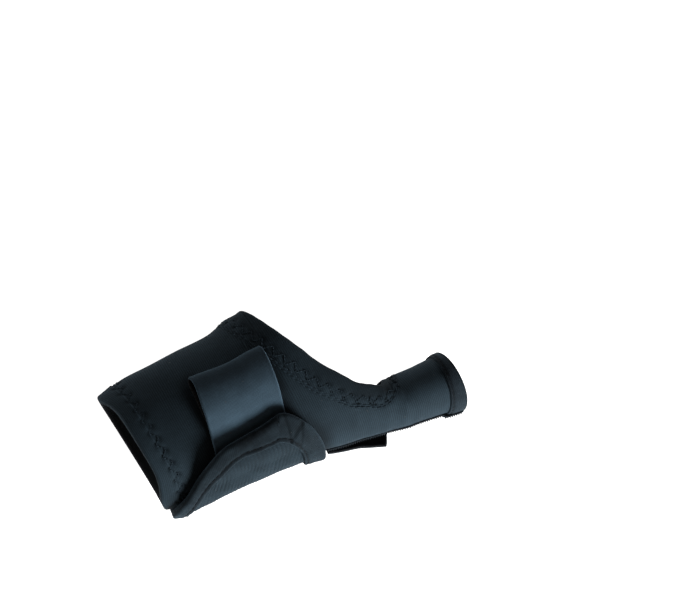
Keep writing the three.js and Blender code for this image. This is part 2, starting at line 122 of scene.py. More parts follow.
def between(value: Array, ends: Pair) -> Array:
    """Says where a value is between two ends."""
    return (value > ends[0]) & (value < ends[1])


def unit(vectors: Array) -> Array:
    """Gives vectors a length of one."""
    return vectors / np.maximum(np.linalg.norm(vectors, axis=-1, keepdims=True), 1e-9)


def rounded(distance: Array, radius: Array) -> Array:
    """Rises like a quarter circle from 0 on an edge to 1 a radius inside it."""
    return np.sqrt(1 - (1 - np.clip(distance / radius, 0, 1)) ** 2)


def dense_ends(length: float, pitch: float, ends: Sequence[float]) -> Array:
    """Places along a length that are close together at both of its ends.

    Args:
        length: The whole length.
        pitch: The largest step between two places.
        ends: The first places from each end.

    Returns:
        The places, rising from 0 to the length.
    """
    near = np.array(ends)
    count = max(int(math.ceil((length - 2 * near[-1]) / pitch)), 1)
    middle = np.linspace(near[-1], length - near[-1], count + 1)[1:-1]
    return np.concatenate([near, middle, length - near[::-1]])


def run_length(points: Array) -> Array:
    """Measures how far along its line each point is."""
    steps = np.linalg.norm(np.diff(points, axis=0), axis=-1)
    return np.concatenate([np.zeros((1,) + steps.shape[1:]), np.cumsum(steps, axis=0)])


def run_across(points: Array) -> Array:
    """Measures how far across its row each point of a grid is."""
    return run_length(points.transpose(1, 0, 2)).T


def run_round(points: Array) -> Array:
    """Measures how far round its closed row each point of a grid is, with the first point once more."""
    return run_across(np.concatenate([points, points[:, :1]], 1))


def nearest(points: Array, line: Array) -> tuple[Array, Array]:
    """Finds how far each point is from a line of close points.

    Args:
        points: The points asked for, in rows of three.
        line: The line's points, in rows of three.

    Returns:
        The distances, and the number of the nearest point of the line.
    """
    tree = KDTree(len(line))
    for k, place in enumerate(line):
        tree.insert(place, k)
    tree.balance()
    found = [tree.find(place) for place in points]
    return np.array([f[2] for f in found]), np.array([f[1] for f in found])


# the form of the sleeve

# at is 0 to 1 along the wrist, 1 to 2 along the hand opening and 2 to 3 along the thumb tube. The others are
# shares of the half width and height that thumb goes between, from the wrist's to the thumb's.
SECTION_COLUMNS = ("at", "thumb", "crest", "radial", "ulnar", "mid", "half")
SECTIONS = np.array([
    (0, 0, 0.09, 0.87, 0.87, 0, 1.03),
    (0.17, 0, 0.06, 0.98, 0.98, 0, 1),
    (0.51, 0, 0.04, 1.01, 1.01, 0, 0.98),
    (0.74, 0, 0.01, 1.03, 1.02, 0, 0.97),
    (0.88, 0, 0.03, 1.1, 1.07, 0, 0.97),
    (1, 0, 0.07, 1.2, 1.06, 0, 0.96),
    (1.29, 0.15, 0.34, 1.51, 1.13, 0.02, 0.99),
    (1.53, 0.3, 0.45, 1.61, 1.16, 0.04, 0.99),
    (1.69, 0.5, 0.26, 1.36, 0.62, 0.06, 0.97),
    (1.81, 0.7, 0.08, 1.06, 0.54, 0.09, 0.97),
    (1.93, 0.88, 0.01, 0.84, 0.78, 0.15, 0.99),
    (2.13, 1, 0.03, 0.8, 0.99, 0.16, 1.02),
    (2.57, 1, 0, 0.96, 0.95, -0.02, 1.02),
    (3, 1, -0.1, 1.1, 1, -0.19, 1.09),
])


@dataclass(frozen=True)
class SleeveForm:
    """The hollow that the sleeve leaves, and the heights of the layers on it."""

    cuff_to_wrist: float = 39.0
    wrist_length: float = 76.6
    opening_length: float = 42.4
    tube_length: float = 31.0
    half_width: Pair = (31.0, 10.8)
    half_height: Pair = (20.0, 11.5)
    squareness: Pair = (2.25, 2.05)
    thumb_offset: float = 37.0
    thumb_drop: float = 9.0
    cuff_slant: float = 0.07
    cuff_bow: Pair = (3.9, 24.0)
    bow_round: Pair = (0.3, 0.95)
    thumb_lean: float = 0.155
    wall: float = 3.0
    cuff_hem: float = 9.0
    cuff_rise: float = 0.7
    hook_gap: float = 0.45
    opening_span: float = 105.0
    opening_widest: float = 0.62
    opening_roundness: float = 0.7
    end_push: float = 0.8
    probe: float = 0.5
    stride: float = 0.8

    @property
    def cuff_x(self) -> float:
        """The forearm edge."""
        return -self.cuff_to_wrist

    @property
    def opening_x(self) -> float:
        """The start of the hand opening."""
        return self.cuff_x + self.wrist_length

    @property
    def web_x(self) -> float:
        """The web of the thumb."""
        return self.opening_x + self.opening_length

    @property
    def end_x(self) -> float:
        """The end of the thumb tube."""
        return self.web_x + self.tube_length

    def station(self, at: Array) -> Array:
        """Turns the table's at into a place along the sleeve."""
        ends = [self.cuff_x, self.opening_x, self.web_x, self.end_x]
        return np.interp(at, [0, 1, 2, 3], ends)

    def column(self, name: str, x: Array) -> Array:
        """Reads one column of the section table along the sleeve."""
        return curve_through(self.station(SECTIONS[:, 0]), SECTIONS[:, SECTION_COLUMNS.index(name)], x)

    def lining(self, x: Array, angle: Array) -> Array:
        """Places points on the lining.

        Args:
            x: Places along the sleeve.
            angle: Angles round it, in degrees.

        Returns:
            The points, with one more axis than the places.
        """
        x, angle = np.broadcast_arrays(np.asarray(x, float), np.asarray(angle, float))
        thumb = np.clip(self.column("thumb", x), 0, 1)
        width = mix(*self.half_width, thumb)
        height = mix(*self.half_height, thumb)
        power = 2 / mix(*self.squareness, thumb)
        c, s = np.cos(np.radians(angle)), np.sin(np.radians(angle))
        side = np.where(c > 0, self.column("ulnar", x), self.column("radial", x)) * width
        across = np.sign(c) * side * np.abs(c) ** power
        up = np.sign(s) * self.column("half", x) * height * np.abs(s) ** power
        slant = self.cuff_slant * smooth_step(0, self.cuff_x, x)
        bow = self.cuff_bow[0] * smooth_step(self.cuff_x + self.cuff_bow[1], self.cuff_x, x)
        along = x + self.thumb_lean * thumb * up - slant * across + bow * smooth_step(*self.bow_round, s)
        crest = -self.thumb_offset * thumb + self.column("crest", x) * width
        middle = -self.thumb_drop * thumb + self.column("mid", x) * height
        return np.stack([along, crest + across, middle + up], -1)

    def slopes(self, x: Array, angle: Array) -> tuple[Array, Array]:
        """The lining's change for each mm along the sleeve and for each degree round it."""
        p = self.probe
        along = (self.lining(x + p, angle) - self.lining(x - p, angle)) / (2 * p)
        return along, (self.lining(x, angle + p) - self.lining(x, angle - p)) / (2 * p)

    def outward(self, x: Array, angle: Array) -> Array:
        """The direction square to the lining."""
        along, around = self.slopes(x, angle)
        return unit(np.cross(around, along))

    def layer(self, x: Array, angle: Array, height: Array) -> Array:
        """Places points at a height above the lining."""
        return self.lining(x, angle) + self.outward(x, angle) * np.asarray(height, float)[..., None]

    def degrees_for(self, x: Array, angle: Array, length: Array) -> Array:
        """How many degrees round the sleeve a length takes."""
        return length / np.linalg.norm(self.slopes(x, angle)[1], axis=-1)

    def top(self, x: Array) -> Array:
        """The height of the sleeve's outside."""
        inside = self.cuff_x + self.cuff_hem
        return self.wall + self.cuff_rise * (1 - smooth_step(inside - 1, inside, x))

    def cover(self, x: Array) -> Array:
        """The height of a layer that lies on the sleeve."""
        inside = self.cuff_x + self.cuff_hem
        down = smooth_step(inside + 1, inside + self.cuff_hem, x)
        return self.wall + self.hook_gap + self.cuff_rise * (1 - down)

    def opening_angle(self, x: Array) -> Array:
        """How far the opening's edge is from the little finger's side."""
        share = (np.asarray(x, float) - self.opening_x) / self.opening_length
        reach = np.where(share < self.opening_widest, self.opening_widest, 1 - self.opening_widest)
        away = (share - self.opening_widest) / reach
        inside = np.clip(1 - away * away, 0, 1) ** self.opening_roundness
        return np.where((share <= 0) | (share >= 1), 0, self.opening_span * inside)

    def opening_edge(self, count: int, corner: int = 10) -> tuple[Array, Array, Array]:
        """Follows the opening's edge all the way round, the back of the hand first.

        Args:
            count: Places on each side.
            corner: Places that share each of the two ends.

        Returns:
            Places along the sleeve, angles, and the directions into the cloth.
        """
        t = np.linspace(0, 1, count + 2)[1:-1]
        xs = self.opening_x + self.opening_length * (1 - np.cos(math.pi * t)) / 2
        back = self.opening_angle(xs)
        x = np.concatenate([xs, xs[::-1]])
        angle = np.concatenate([back, 360 - back[::-1]])
        points = self.lining(x, angle)
        ahead = unit(np.roll(points, -1, 0) - np.roll(points, 1, 0))
        into = unit(np.cross(ahead, self.outward(x, angle)))
        middle = self.lining(np.full(1, self.opening_x + self.opening_length / 2), np.zeros(1))
        if np.mean(np.sum(into * (points - middle), -1)) < 0:
            into = -into
        share = np.linspace(0, 1, corner)[:, None]
        bulge = 1 - (2 * share - 1) ** 2
        sides = [
            (slice(0, count), count - 1, count, self.web_x, 1),
            (slice(count, 2 * count), 2 * count - 1, 0, self.opening_x, -1),
        ]
        runs = []
        for side, a, b, place, sign in sides:
            turn = unit(mix(into[a], into[b], share) + np.array([sign, 0, 0]) * self.end_push * bulge)
            runs.append((np.concatenate([x[side], np.full(corner, place)]),
                         np.concatenate([angle[side], np.zeros(corner)]),
                         np.concatenate([into[side], turn])))
        return tuple(np.concatenate([run[k] for run in runs]) for k in range(3))

    def walk(self, x: Array, angle: Array, heading: Array, distance: Array) -> tuple[Array, Array]:
        """Walks over the lining, straight on.

        Args:
            x: Starting places along the sleeve.
            angle: Starting angles.
            heading: Directions in space.
            distance: How far to go from each place.

        Returns:
            The places along the sleeve and the angles reached.
        """
        count = max(int(np.max(np.abs(distance)) / self.stride), 1)
        x, angle, heading = x.copy(), angle.copy(), heading.copy()
        for _ in range(count):
            along, around = self.slopes(x, angle)
            e, f, g = (np.sum(a * b, -1) for a, b in ((along, along), (along, around), (around, around)))
            ahead, aside = np.sum(heading * along, -1), np.sum(heading * around, -1)
            det = e * g - f * f
            dx, da = (g * ahead - f * aside) / det, (e * aside - f * ahead) / det
            step = along * dx[:, None] + around * da[:, None]
            size = np.linalg.norm(step, axis=-1)
            x += dx / size * distance / count
            angle += da / size * distance / count
            heading = step / size[:, None]
        return x, angle


# meshes


@dataclass
class Skin:
    """Faces of one finish: corners as vertex numbers, and the cloth map's mm at each corner."""

    corners: Array
    cloth: Array
    finish: int = 0


def grid_skin(index: Array, cloth: Array, finish: int = 0, flip: bool = False) -> Skin:
    """Makes the faces of a grid of vertices.

    Args:
        index: Vertex numbers, in rows and columns.
        cloth: The cloth map's mm for each of them.
        finish: The number of the material.
        flip: Turns the faces over.

    Returns:
        The faces, four corners each.
    """
    def quads(grid: Array) -> Array:
        """Gathers the four corners of each cell."""
        return np.stack([grid[:-1, :-1], grid[:-1, 1:], grid[1:, 1:], grid[1:, :-1]], 2)

    corners, maps = quads(index).reshape(-1, 4), quads(cloth).reshape(-1, 4, 2)
    if flip:
        corners, maps = corners[:, ::-1], maps[:, ::-1]
    return Skin(corners, maps, finish)


def make_piece(name: str, points: Array, skins: Sequence[Skin],
               shade: Array | None = None) -> bpy.types.Object:
    """Makes one closed piece from its skins.

    Args:
        name: The piece's name.
        points: Its vertices, in mm.
        skins: Its faces.
        shade: How dark each vertex is, from 0 to 1, or None.

    Returns:
        The new object, whose faces point out.
    """
    corners = np.concatenate([s.corners for s in skins])
    cloth = np.concatenate([s.cloth for s in skins])
    finish = np.concatenate([np.full(len(s.corners), s.finish) for s in skins])
    a, b, c, d = (points[corners[:, k]] for k in range(4))
    volume = np.sum(a * np.cross(b, c)) + np.sum(a * np.cross(c, d))
    if volume < 0:
        corners, cloth = corners[:, ::-1], cloth[:, ::-1]
    faces, maps = [], []
    for corner, place in zip(corners.tolist(), cloth.tolist()):
        kept = [k for k in range(4) if corner[k] != corner[k - 1]]
        faces.append([corner[k] for k in kept])
        maps.extend(place[k] for k in kept)
    mesh = bpy.data.meshes.new(name)
    mesh.from_pydata((points * MM).tolist(), [], faces)
    layer = mesh.uv_layers.new(name="Cloth")
    layer.data.foreach_set("uv", np.array(maps, np.float32).ravel())
    mesh.polygons.foreach_set("material_index", finish.astype(np.int32))
    mesh.polygons.foreach_set("use_smooth", np.ones(len(faces), bool))
    dark = mesh.attributes.new("shade", "FLOAT", "POINT")
    dark.data.foreach_set("value", np.zeros(len(points), np.float32) if shade is None
                          else shade.astype(np.float32))
    mesh.update()
    piece = bpy.data.objects.new(name, mesh)
    bpy.context.scene.collection.objects.link(piece)
    return piece


def join_layers(name: str, front: Array, back: Array, cloth: Array, finishes: tuple[int, int] = (0, 0),
                shade: Array | None = None) -> bpy.types.Object:
    """Makes a closed cloth from a front and a back grid that meet on all four sides.

    Args:
        name: The piece's name.
        front: The front's points, in rows and columns.
        back: The back's points.
        cloth: The cloth map's mm.
        finishes: The numbers of the front's and the back's material.
        shade: How dark the front is at each point, or None.

    Returns:
        The new object.
    """
    rows, columns = front.shape[:2]
    ahead = np.arange(rows * columns).reshape(rows, columns)
    behind = ahead.copy()
    inner = (rows - 2) * (columns - 2)
    behind[1:-1, 1:-1] = rows * columns + np.arange(inner).reshape(rows - 2, columns - 2)
    points = np.concatenate([front.reshape(-1, 3), back[1:-1, 1:-1].reshape(-1, 3)])
    if shade is not None:
        shade = np.concatenate([shade.ravel(), shade[1:-1, 1:-1].ravel()])
    skins = [grid_skin(ahead, cloth, finishes[0]), grid_skin(behind, cloth, finishes[1], flip=True)]
    return make_piece(name, points, skins, shade)


def sweep(name: str, sections: Array, cloth: Array, shade: Array | None = None,
          ring: bool = False) -> bpy.types.Object:
    """Makes a closed bar or ring from closed sections that follow one another.

    Args:
        name: The piece's name.
        sections: Points as [section, place round it, xyz].
        cloth: The cloth map's mm, with one more place round each section.
        shade: How dark each point is, or None.
        ring: Joins the last section to the first, and the cloth map then has one more section.

    Returns:
        The new object.
    """
    count, around = sections.shape[:2]
    index = np.arange(count * around).reshape(count, around)
    index = np.concatenate([index, index[:, :1]], 1)
    points = sections.reshape(-1, 3)
    shades = None if shade is None else shade.ravel()
    if ring:
        index = np.concatenate([index, index[:1]])
        return make_piece(name, points, [grid_skin(index, cloth)], shades)
    skins = [grid_skin(index, cloth)]
    for row, flip in ((0, True), (count - 1, False)):
        middle = len(points)
        points = np.concatenate([points, sections[row].mean(0, keepdims=True)])
        if shades is not None:
            shades = np.append(shades, shades[row * around])
        fan = np.stack([index[row], np.full(around + 1, middle)])
        place = np.stack([cloth[row], np.broadcast_to(cloth[row].mean(0), cloth[row].shape)])
        skins.append(grid_skin(fan, place, flip=flip))
    return make_piece(name, points, skins, shades)


def thread(name: str, runs: Sequence[tuple[Array, Array]], radius: float, sides: int = 6) -> bpy.types.Object:
    """Makes sewing threads, each a closed tube with rounded ends.

    Args:
        name: The piece's name.
        runs: Each thread's points and the directions out of the cloth there.
        radius: Half the thread's thickness.
        sides: Faces round it.

    Returns:
        The new object.
    """
    turn = np.linspace(0, 2 * math.pi, sides, endpoint=False)
    tip = 0.6
    points, skins, total = [], [], 0
    for line, out in runs:
        ahead = unit(np.gradient(line, axis=0))
        aside = unit(np.cross(ahead, out))
        over = np.cross(aside, ahead)
        spokes = np.cos(turn)[None, :, None] * aside[:, None] + np.sin(turn)[None, :, None] * over[:, None]
        tube = line[:, None] + radius * spokes
        ends = np.stack([line[0] - ahead[0] * radius * tip, line[-1] + ahead[-1] * radius * tip])
        index = total + np.arange(len(line) * sides).reshape(len(line), sides)
        index = np.concatenate([np.full((1, sides), total + len(line) * sides), index,
                                np.full((1, sides), total + len(line) * sides + 1)])
        index = np.concatenate([index, index[:, :1]], 1)
        reach = run_length(line)
        reach = np.concatenate([[reach[0] - radius], reach, [reach[-1] + radius]])
        round_it = np.linspace(0, 2 * math.pi * radius, sides + 1)
        cloth = np.stack(np.meshgrid(reach, round_it, indexing="ij"), -1)
        points += [tube.reshape(-1, 3), ends]
        skins.append(grid_skin(index, cloth))
        total += len(line) * sides + 2
    return make_piece(name, np.concatenate(points), skins)


def waves(points: Array, seed: int, length: Pair, count: int = 7) -> Array:
    """Adds up slow waves, for cloth that is never quite even.

    Args:
        points: Where the waves are read, in mm.
        seed: Chooses the waves.
        length: The shortest and the longest wave, in mm.
        count: How many waves.

    Returns:
        Heights from about -1 to 1.
    """
    rng = np.random.default_rng(seed)
    total = np.zeros(points.shape[:-1])
    for _ in range(count):
        heading = unit(rng.normal(size=3))
        size = rng.uniform(*length)
        total += np.sin(points @ heading * (2 * math.pi / size) + rng.uniform(0, 2 * math.pi))
    return total / math.sqrt(count)


# finishes


def put(tree: bpy.types.NodeTree, kind: str, *values: object, **settings: object) -> bpy.types.Node:
    """Adds a node and fills its inputs in order.

    Args:
        tree: Where the node goes.
        kind: The node's type, without the words ShaderNode.
        values: A socket to link from, a plain value, or None to leave the input alone.
        settings: Properties of the node.

    Returns:
        The new node.
    """
    node = tree.nodes.new("ShaderNode" + kind)
    for key, value in settings.items():
        setattr(node, key, value)
    for socket, value in zip(node.inputs, values):
        if isinstance(value, Socket):
            tree.links.new(value, socket)
        elif value is not None:
            socket.default_value = value
    return node


def set_inputs(node: bpy.types.Node, values: dict[str, object]) -> None:
    """Fills a node's inputs by name, with a link where the value is a socket.

    Args:
        node: The node.
        values: The inputs' names, each with a socket to link from or a plain value.
    """
    for name, value in values.items():
        if isinstance(value, Socket):
            node.id_data.links.new(value, node.inputs[name])
        else:
            node.inputs[name].default_value = value


def calc(tree: bpy.types.NodeTree, operation: str, *values: object) -> Socket:
    """Works out one number in a node tree."""
    return put(tree, "Math", *values, operation=operation).outputs[0]


def blend_colour(tree: bpy.types.NodeTree, share: object, a: object, b: object) -> Socket:
    """Goes from one colour to another by a share."""
    node = put(tree, "Mix", data_type="RGBA")
    for socket, value in ((node.inputs[0], share), (node.inputs[6], a), (node.inputs[7], b)):
        if isinstance(value, Socket):
            tree.links.new(value, socket)
        else:
            socket.default_value = (*value, 1.0) if isinstance(value, tuple) else value
    return node.outputs[2]


def node_group(name: str, inputs: Sequence[tuple[str, str, object]], outputs: Sequence[tuple[str, str]],
               fill: Callable[..., Sequence[Socket]]) -> bpy.types.NodeTree:
    """Makes a shader node group once.

    Args:
        name: The group's name.
        inputs: Name, kind (Float, Vector or Color) and value of each input.
        outputs: Name and kind of each output.
        fill: Adds the nodes from the tree and the input sockets, and gives the sockets of the outputs.

    Returns:
        The group.
    """
    if name in bpy.data.node_groups:
        return bpy.data.node_groups[name]
    tree = bpy.data.node_groups.new(name, "ShaderNodeTree")
    for label, kind, value in inputs:
        socket = tree.interface.new_socket(label, in_out="INPUT", socket_type="NodeSocket" + kind)
        if value is not None:
            socket.default_value = value
    for label, kind in outputs:
        tree.interface.new_socket(label, in_out="OUTPUT", socket_type="NodeSocket" + kind)
    start, end = tree.nodes.new("NodeGroupInput"), tree.nodes.new("NodeGroupOutput")
    for socket, made in zip(end.inputs, fill(tree, *list(start.outputs)[:len(inputs)])):
        tree.links.new(made, socket)
    return tree


def use_group(tree: bpy.types.NodeTree, group: bpy.types.NodeTree, *values: object) -> bpy.types.Node:
    """Places a node group in a tree and fills its inputs in order."""
    return put(tree, "Group", *values, node_tree=group)


def turned_cells(tree: bpy.types.NodeTree, place: Socket, turn: Socket, across: Socket,
                 along: Socket) -> tuple[Socket, Socket]:
    """Turns a place in mm and counts it in cells.

    Args:
        tree: The node tree.
        place: The place on the cloth, in mm.
        turn: The pattern's turn, in degrees.
        across: The cells' width in mm.
        along: The cells' length in mm.

    Returns:
        The two counts.
    """
    radians = calc(tree, "RADIANS", turn)
    spun = put(tree, "VectorRotate", place, None, None, radians, rotation_type="Z_AXIS").outputs[0]
    parts = put(tree, "SeparateXYZ", spun)
    return calc(tree, "DIVIDE", parts.outputs[0], across), calc(tree, "DIVIDE", parts.outputs[1], along)


def fill_knit(tree: bpy.types.NodeTree, place: Socket, turn: Socket, across: Socket,
              along: Socket) -> Sequence[Socket]:
    """Draws columns of V-shaped loops: the height of the yarn and the gaps between the columns."""
    p, q = turned_cells(tree, place, turn, across, along)
    side = calc(tree, "ABSOLUTE", calc(tree, "SUBTRACT", calc(tree, "FRACT", p), 0.5))
    side = calc(tree, "MULTIPLY", side, 2.0)
    lean = calc(tree, "ADD", q, calc(tree, "MULTIPLY", side, 0.55))
    loop = calc(tree, "SINE", calc(tree, "MULTIPLY", lean, 2 * math.pi))
    body = calc(tree, "SQRT", calc(tree, "SUBTRACT", 1.0, calc(tree, "POWER", side, 2.5)))
    yarn = calc(tree, "MULTIPLY_ADD", loop, 0.28, 0.72)
    gap = calc(tree, "POWER", side, 5.0)
    return calc(tree, "MULTIPLY", body, yarn), gap


def fill_weave(tree: bpy.types.NodeTree, place: Socket, turn: Socket, across: Socket,
               along: Socket) -> Sequence[Socket]:
    """Draws a plain weave: threads that pass over and under each other."""
    p, q = turned_cells(tree, place, turn, across, along)
    warp = calc(tree, "COSINE", calc(tree, "MULTIPLY", p, 2 * math.pi))
    weft = calc(tree, "COSINE", calc(tree, "MULTIPLY", q, 2 * math.pi))
    over = calc(tree, "SINE", calc(tree, "MULTIPLY", p, math.pi))
    under = calc(tree, "SINE", calc(tree, "MULTIPLY", q, math.pi))
    cross = calc(tree, "MULTIPLY", over, under)
    both = calc(tree, "ADD", warp, weft)
    height = calc(tree, "MULTIPLY_ADD", both, 0.18, 0.5)
    gap = calc(tree, "POWER", calc(tree, "MULTIPLY_ADD", both, -0.25, 0.5), 3.0)
    return calc(tree, "MULTIPLY_ADD", cross, 0.14, height), gap


def fill_twist(tree: bpy.types.NodeTree, place: Socket, turn: Socket, across: Socket,
               along: Socket) -> Sequence[Socket]:
    """Draws the slanting plies of a thread."""
    p, q = turned_cells(tree, place, turn, across, along)
    slanted = calc(tree, "MULTIPLY", calc(tree, "ADD", p, q), math.pi)
    ply = calc(tree, "ABSOLUTE", calc(tree, "SINE", slanted))
    return ply, calc(tree, "POWER", calc(tree, "SUBTRACT", 1.0, ply), 2.0)


def fill_specks(tree: bpy.types.NodeTree, place: Socket, size: Socket, amount: Socket) -> Sequence[Socket]:
    """Scatters lint: a few small specks, each in its own cell."""
    scale = calc(tree, "DIVIDE", 1.0, size)
    bent = put(tree, "TexNoise", place, None, 1.7, 1.0, 0.5)
    moved = put(tree, "VectorMath", bent.outputs[1], (0.5, 0.5, 0.5), operation="SUBTRACT").outputs[0]
    near = put(tree, "VectorMath", place, moved, operation="ADD").outputs[0]
    cells = put(tree, "TexVoronoi", near, None, scale, feature="F1")
    dot = put(tree, "MapRange", cells.outputs[0], 0.16, 0.07, 0.0, 1.0).outputs[0]
    lucky = put(tree, "SeparateColor", cells.outputs[1]).outputs[0]
    chosen = calc(tree, "LESS_THAN", lucky, amount)
    return [calc(tree, "MULTIPLY", dot, chosen)]


def fill_handling(tree: bpy.types.NodeTree, place: Socket, size: Socket) -> Sequence[Socket]:
    """Varies a cloth: broad worn patches, and the fuzz that lifts from its surface."""
    broad = put(tree, "TexNoise", place, None, calc(tree, "DIVIDE", 1.0, size), 3.0, 0.55).outputs[0]
    fuzz = put(tree, "TexNoise", place, None, 1.5, 4.0, 0.7).outputs[0]
    return put(tree, "MapRange", broad, 0.3, 0.7, 0.0, 1.0).outputs[0], fuzz


CELL_INPUTS = (
    ("Place", "Vector", None), ("Turn", "Float", 0.0), ("Across", "Float", 1.0), ("Along", "Float", 1.0),
)
CELL_OUTPUTS = (("Height", "Float"), ("Gap", "Float"))
HANDLING_INPUTS = (("Place", "Vector", None), ("Size", "Float", 10.0))
HANDLING_OUTPUTS = (("Patch", "Float"), ("Fuzz", "Float"))
SPECK_INPUTS = (("Place", "Vector", None), ("Size", "Float", 2.0), ("Amount", "Float", 0.1))
SPECK_OUTPUTS = (("Mask", "Float"),)


class Pattern(Enum):
    """How a cloth is made, with the node group that draws it."""

    KNIT = ("cloth_knit", fill_knit)
    WEAVE = ("cloth_weave", fill_weave)
    TWIST = ("thread_twist", fill_twist)

    def group(self) -> bpy.types.NodeTree:
        """The pattern's node group."""
        name, fill = self.value
        return node_group(name, CELL_INPUTS, CELL_OUTPUTS, fill)


@dataclass(frozen=True)
class ClothFinish:
    """A cloth's colour, weave, nap and wear.

    low and high are its colours in the hollows and on the yarn, cell the size of its pattern in mm across
    and along, turn the pattern's turn in degrees, relief its depth in mm, fuzz that of the nap, patch how
    much the colour wanders, lint how many specks it carries, and sheen the nap's gloss at low angles.
    yarn_tint is how far the yarn's tops go to the lighter colour, a painted highlight over painted shade in
    the hollows, fuzz_tint how far the nap goes to it, and gap_shade how dark the painted shade in the
    pattern's gaps is.
    """

    name: str
    low: Colour
    high: Colour
    pattern: Pattern
    cell: Pair
    turn: float = 0.0
    relief: float = 0.12
    fuzz: float = 0.1
    patch: float = 0.35
    patch_size: float = 14.0
    lint: float = 0.05
    lint_colour: Colour = (0.05, 0.058, 0.064)
    lint_size: float = 2.2
    lint_height: float = 0.06
    yarn_tint: float = 0.7
    fuzz_tint: float = 0.6
    gap_shade: float = 0.45
    roughness: float = 0.8
    fuzz_roughness: float = 0.2
    sheen: float = 0.2
    sheen_roughness: float = 0.45
    sheen_tint: Colour = (0.4, 0.65, 0.85)
    specular: float = 0.07

    def material(self) -> bpy.types.Material:
        """Builds the material.

        Returns:
            The material, made once for each name.
        """
        if self.name in bpy.data.materials:
            return bpy.data.materials[self.name]
        made = bpy.data.materials.new(self.name)
        made.use_nodes = True
        made.diffuse_color = (*self.high, 1.0)
        tree = made.node_tree
        tree.nodes.clear()
        cloth = put(tree, "UVMap", uv_map="Cloth").outputs[0]
        space = put(tree, "TexCoord").outputs["Object"]
        space = put(tree, "VectorMath", space, None, None, 1 / MM, operation="SCALE").outputs[0]
        height, gap = use_group(tree, self.pattern.group(), cloth, self.turn, *self.cell).outputs
        worn_cloth = node_group("handling", HANDLING_INPUTS, HANDLING_OUTPUTS, fill_handling)
        patch, fuzz = use_group(tree, worn_cloth, space, self.patch_size).outputs
        lint = node_group("lint_specks", SPECK_INPUTS, SPECK_OUTPUTS, fill_specks)
        specks = use_group(tree, lint, space, self.lint_size, self.lint).outputs[0]
        # painted light on the yarn's tops and painted shade in the pattern's gaps
        yarn = calc(tree, "MULTIPLY", height, self.yarn_tint)
        yarn = calc(tree, "MULTIPLY_ADD", fuzz, self.fuzz_tint, yarn)
        colour = blend_colour(tree, yarn, self.low, self.high)
        # broad patches of the cloth's own wear
        wear_and_shade = calc(tree, "MULTIPLY_ADD", patch, self.patch, 1 - self.patch / 2)
        hollow = calc(tree, "MULTIPLY_ADD", gap, -self.gap_shade, 1.0)
        # the shade attribute carries each piece's painted shade and painted shadow
        dark = put(tree, "Attribute", attribute_name="shade").outputs["Fac"]
        lit = calc(tree, "SUBTRACT", 1.0, dark)
        level = calc(tree, "MULTIPLY", calc(tree, "MULTIPLY", wear_and_shade, hollow), lit)
        shaded = put(tree, "VectorMath", colour, None, None, level, operation="SCALE").outputs[0]
        colour = blend_colour(tree, specks, shaded, self.lint_colour)
        smoothest = self.roughness - self.fuzz_roughness / 2
        rough = calc(tree, "MULTIPLY_ADD", fuzz, self.fuzz_roughness, smoothest)
        lift = calc(tree, "MULTIPLY_ADD", fuzz, self.fuzz, calc(tree, "MULTIPLY", height, self.relief))
        lift = calc(tree, "MULTIPLY_ADD", specks, self.lint_height, lift)
        bump = put(tree, "Bump")
        set_inputs(bump, {"Strength": 1.0, "Distance": MM, "Height": lift})
        shader = put(tree, "BsdfPrincipled")
        set_inputs(shader, {
            "Base Color": colour,
            "Roughness": rough,
            "Normal": bump.outputs[0],
            "Specular IOR Level": self.specular,
            "Sheen Weight": self.sheen,
            "Sheen Roughness": self.sheen_roughness,
            "Sheen Tint": (*self.sheen_tint, 1.0),
        })
        put(tree, "OutputMaterial", shader.outputs[0])
        return made


JERSEY = ClothFinish(
    "neoprene_jersey", (0.0062, 0.0108, 0.0145), (0.0205, 0.035, 0.0468), Pattern.KNIT, (0.95, 0.8),
    relief=0.07, fuzz=0.12, patch=0.3, lint=0.03, sheen=0.06,
)
LINING = ClothFinish(
    "sleeve_lining", (0.006, 0.0065, 0.008), (0.015, 0.017, 0.019), Pattern.KNIT, (0.7, 0.8),
    relief=0.05, fuzz=0.04, lint=0.02, roughness=0.85, sheen=0.08,
)
RIB_KNIT = ClothFinish(
    "ribbed_loop_knit", (0.005, 0.0088, 0.0118), (0.0155, 0.027, 0.036), Pattern.KNIT, (0.6, 0.9),
    turn=-14.0, relief=0.07, fuzz=0.2, patch=0.35, patch_size=9.0, lint=0.06, sheen=0.15,
)
HEM_JERSEY = ClothFinish(
    "hem_jersey", (0.004, 0.0067, 0.0089), (0.0128, 0.0212, 0.028), Pattern.KNIT, (0.8, 0.65),
    turn=30.0, relief=0.1, fuzz=0.24, patch=0.45, patch_size=5.0, lint=0.04, sheen=0.12,
)
ELASTIC = ClothFinish(
    "brushed_elastic", (0.024, 0.0425, 0.0595), (0.0495, 0.085, 0.118), Pattern.WEAVE, (0.55, 0.55),
    relief=0.04, fuzz=0.2, patch=0.25, patch_size=11.0, lint=0.1, sheen=0.15,
)
HOOK_SIDE = ClothFinish(
    "hook_tape", (0.0025, 0.0027, 0.003), (0.008, 0.0088, 0.0098), Pattern.WEAVE, (1.3, 1.3),
    relief=0.25, fuzz=0.05, patch=0.2, lint=0.02, roughness=0.6, sheen=0.03,
)
BINDING = ClothFinish(
    "bound_edge", (0.0045, 0.007, 0.0095), (0.0135, 0.0215, 0.0285), Pattern.KNIT, (0.9, 0.7),
    turn=12.0, relief=0.12, fuzz=0.2, patch=0.4, patch_size=5.0, lint=0.05, sheen=0.1,
)
# the tab's outer cloth is painted darker where the light falls on it, and its inner face, in the tab's shade,
# is painted much lighter: painted shade and painted light
TAB_CLOTH = ClothFinish(
    "tab_cloth", (0.004, 0.0046, 0.0053), (0.015, 0.017, 0.0195), Pattern.WEAVE, (0.8, 1.1),
    relief=0.1, fuzz=0.1, patch=0.5, patch_size=8.0, lint=0.05, sheen=0.12,
)
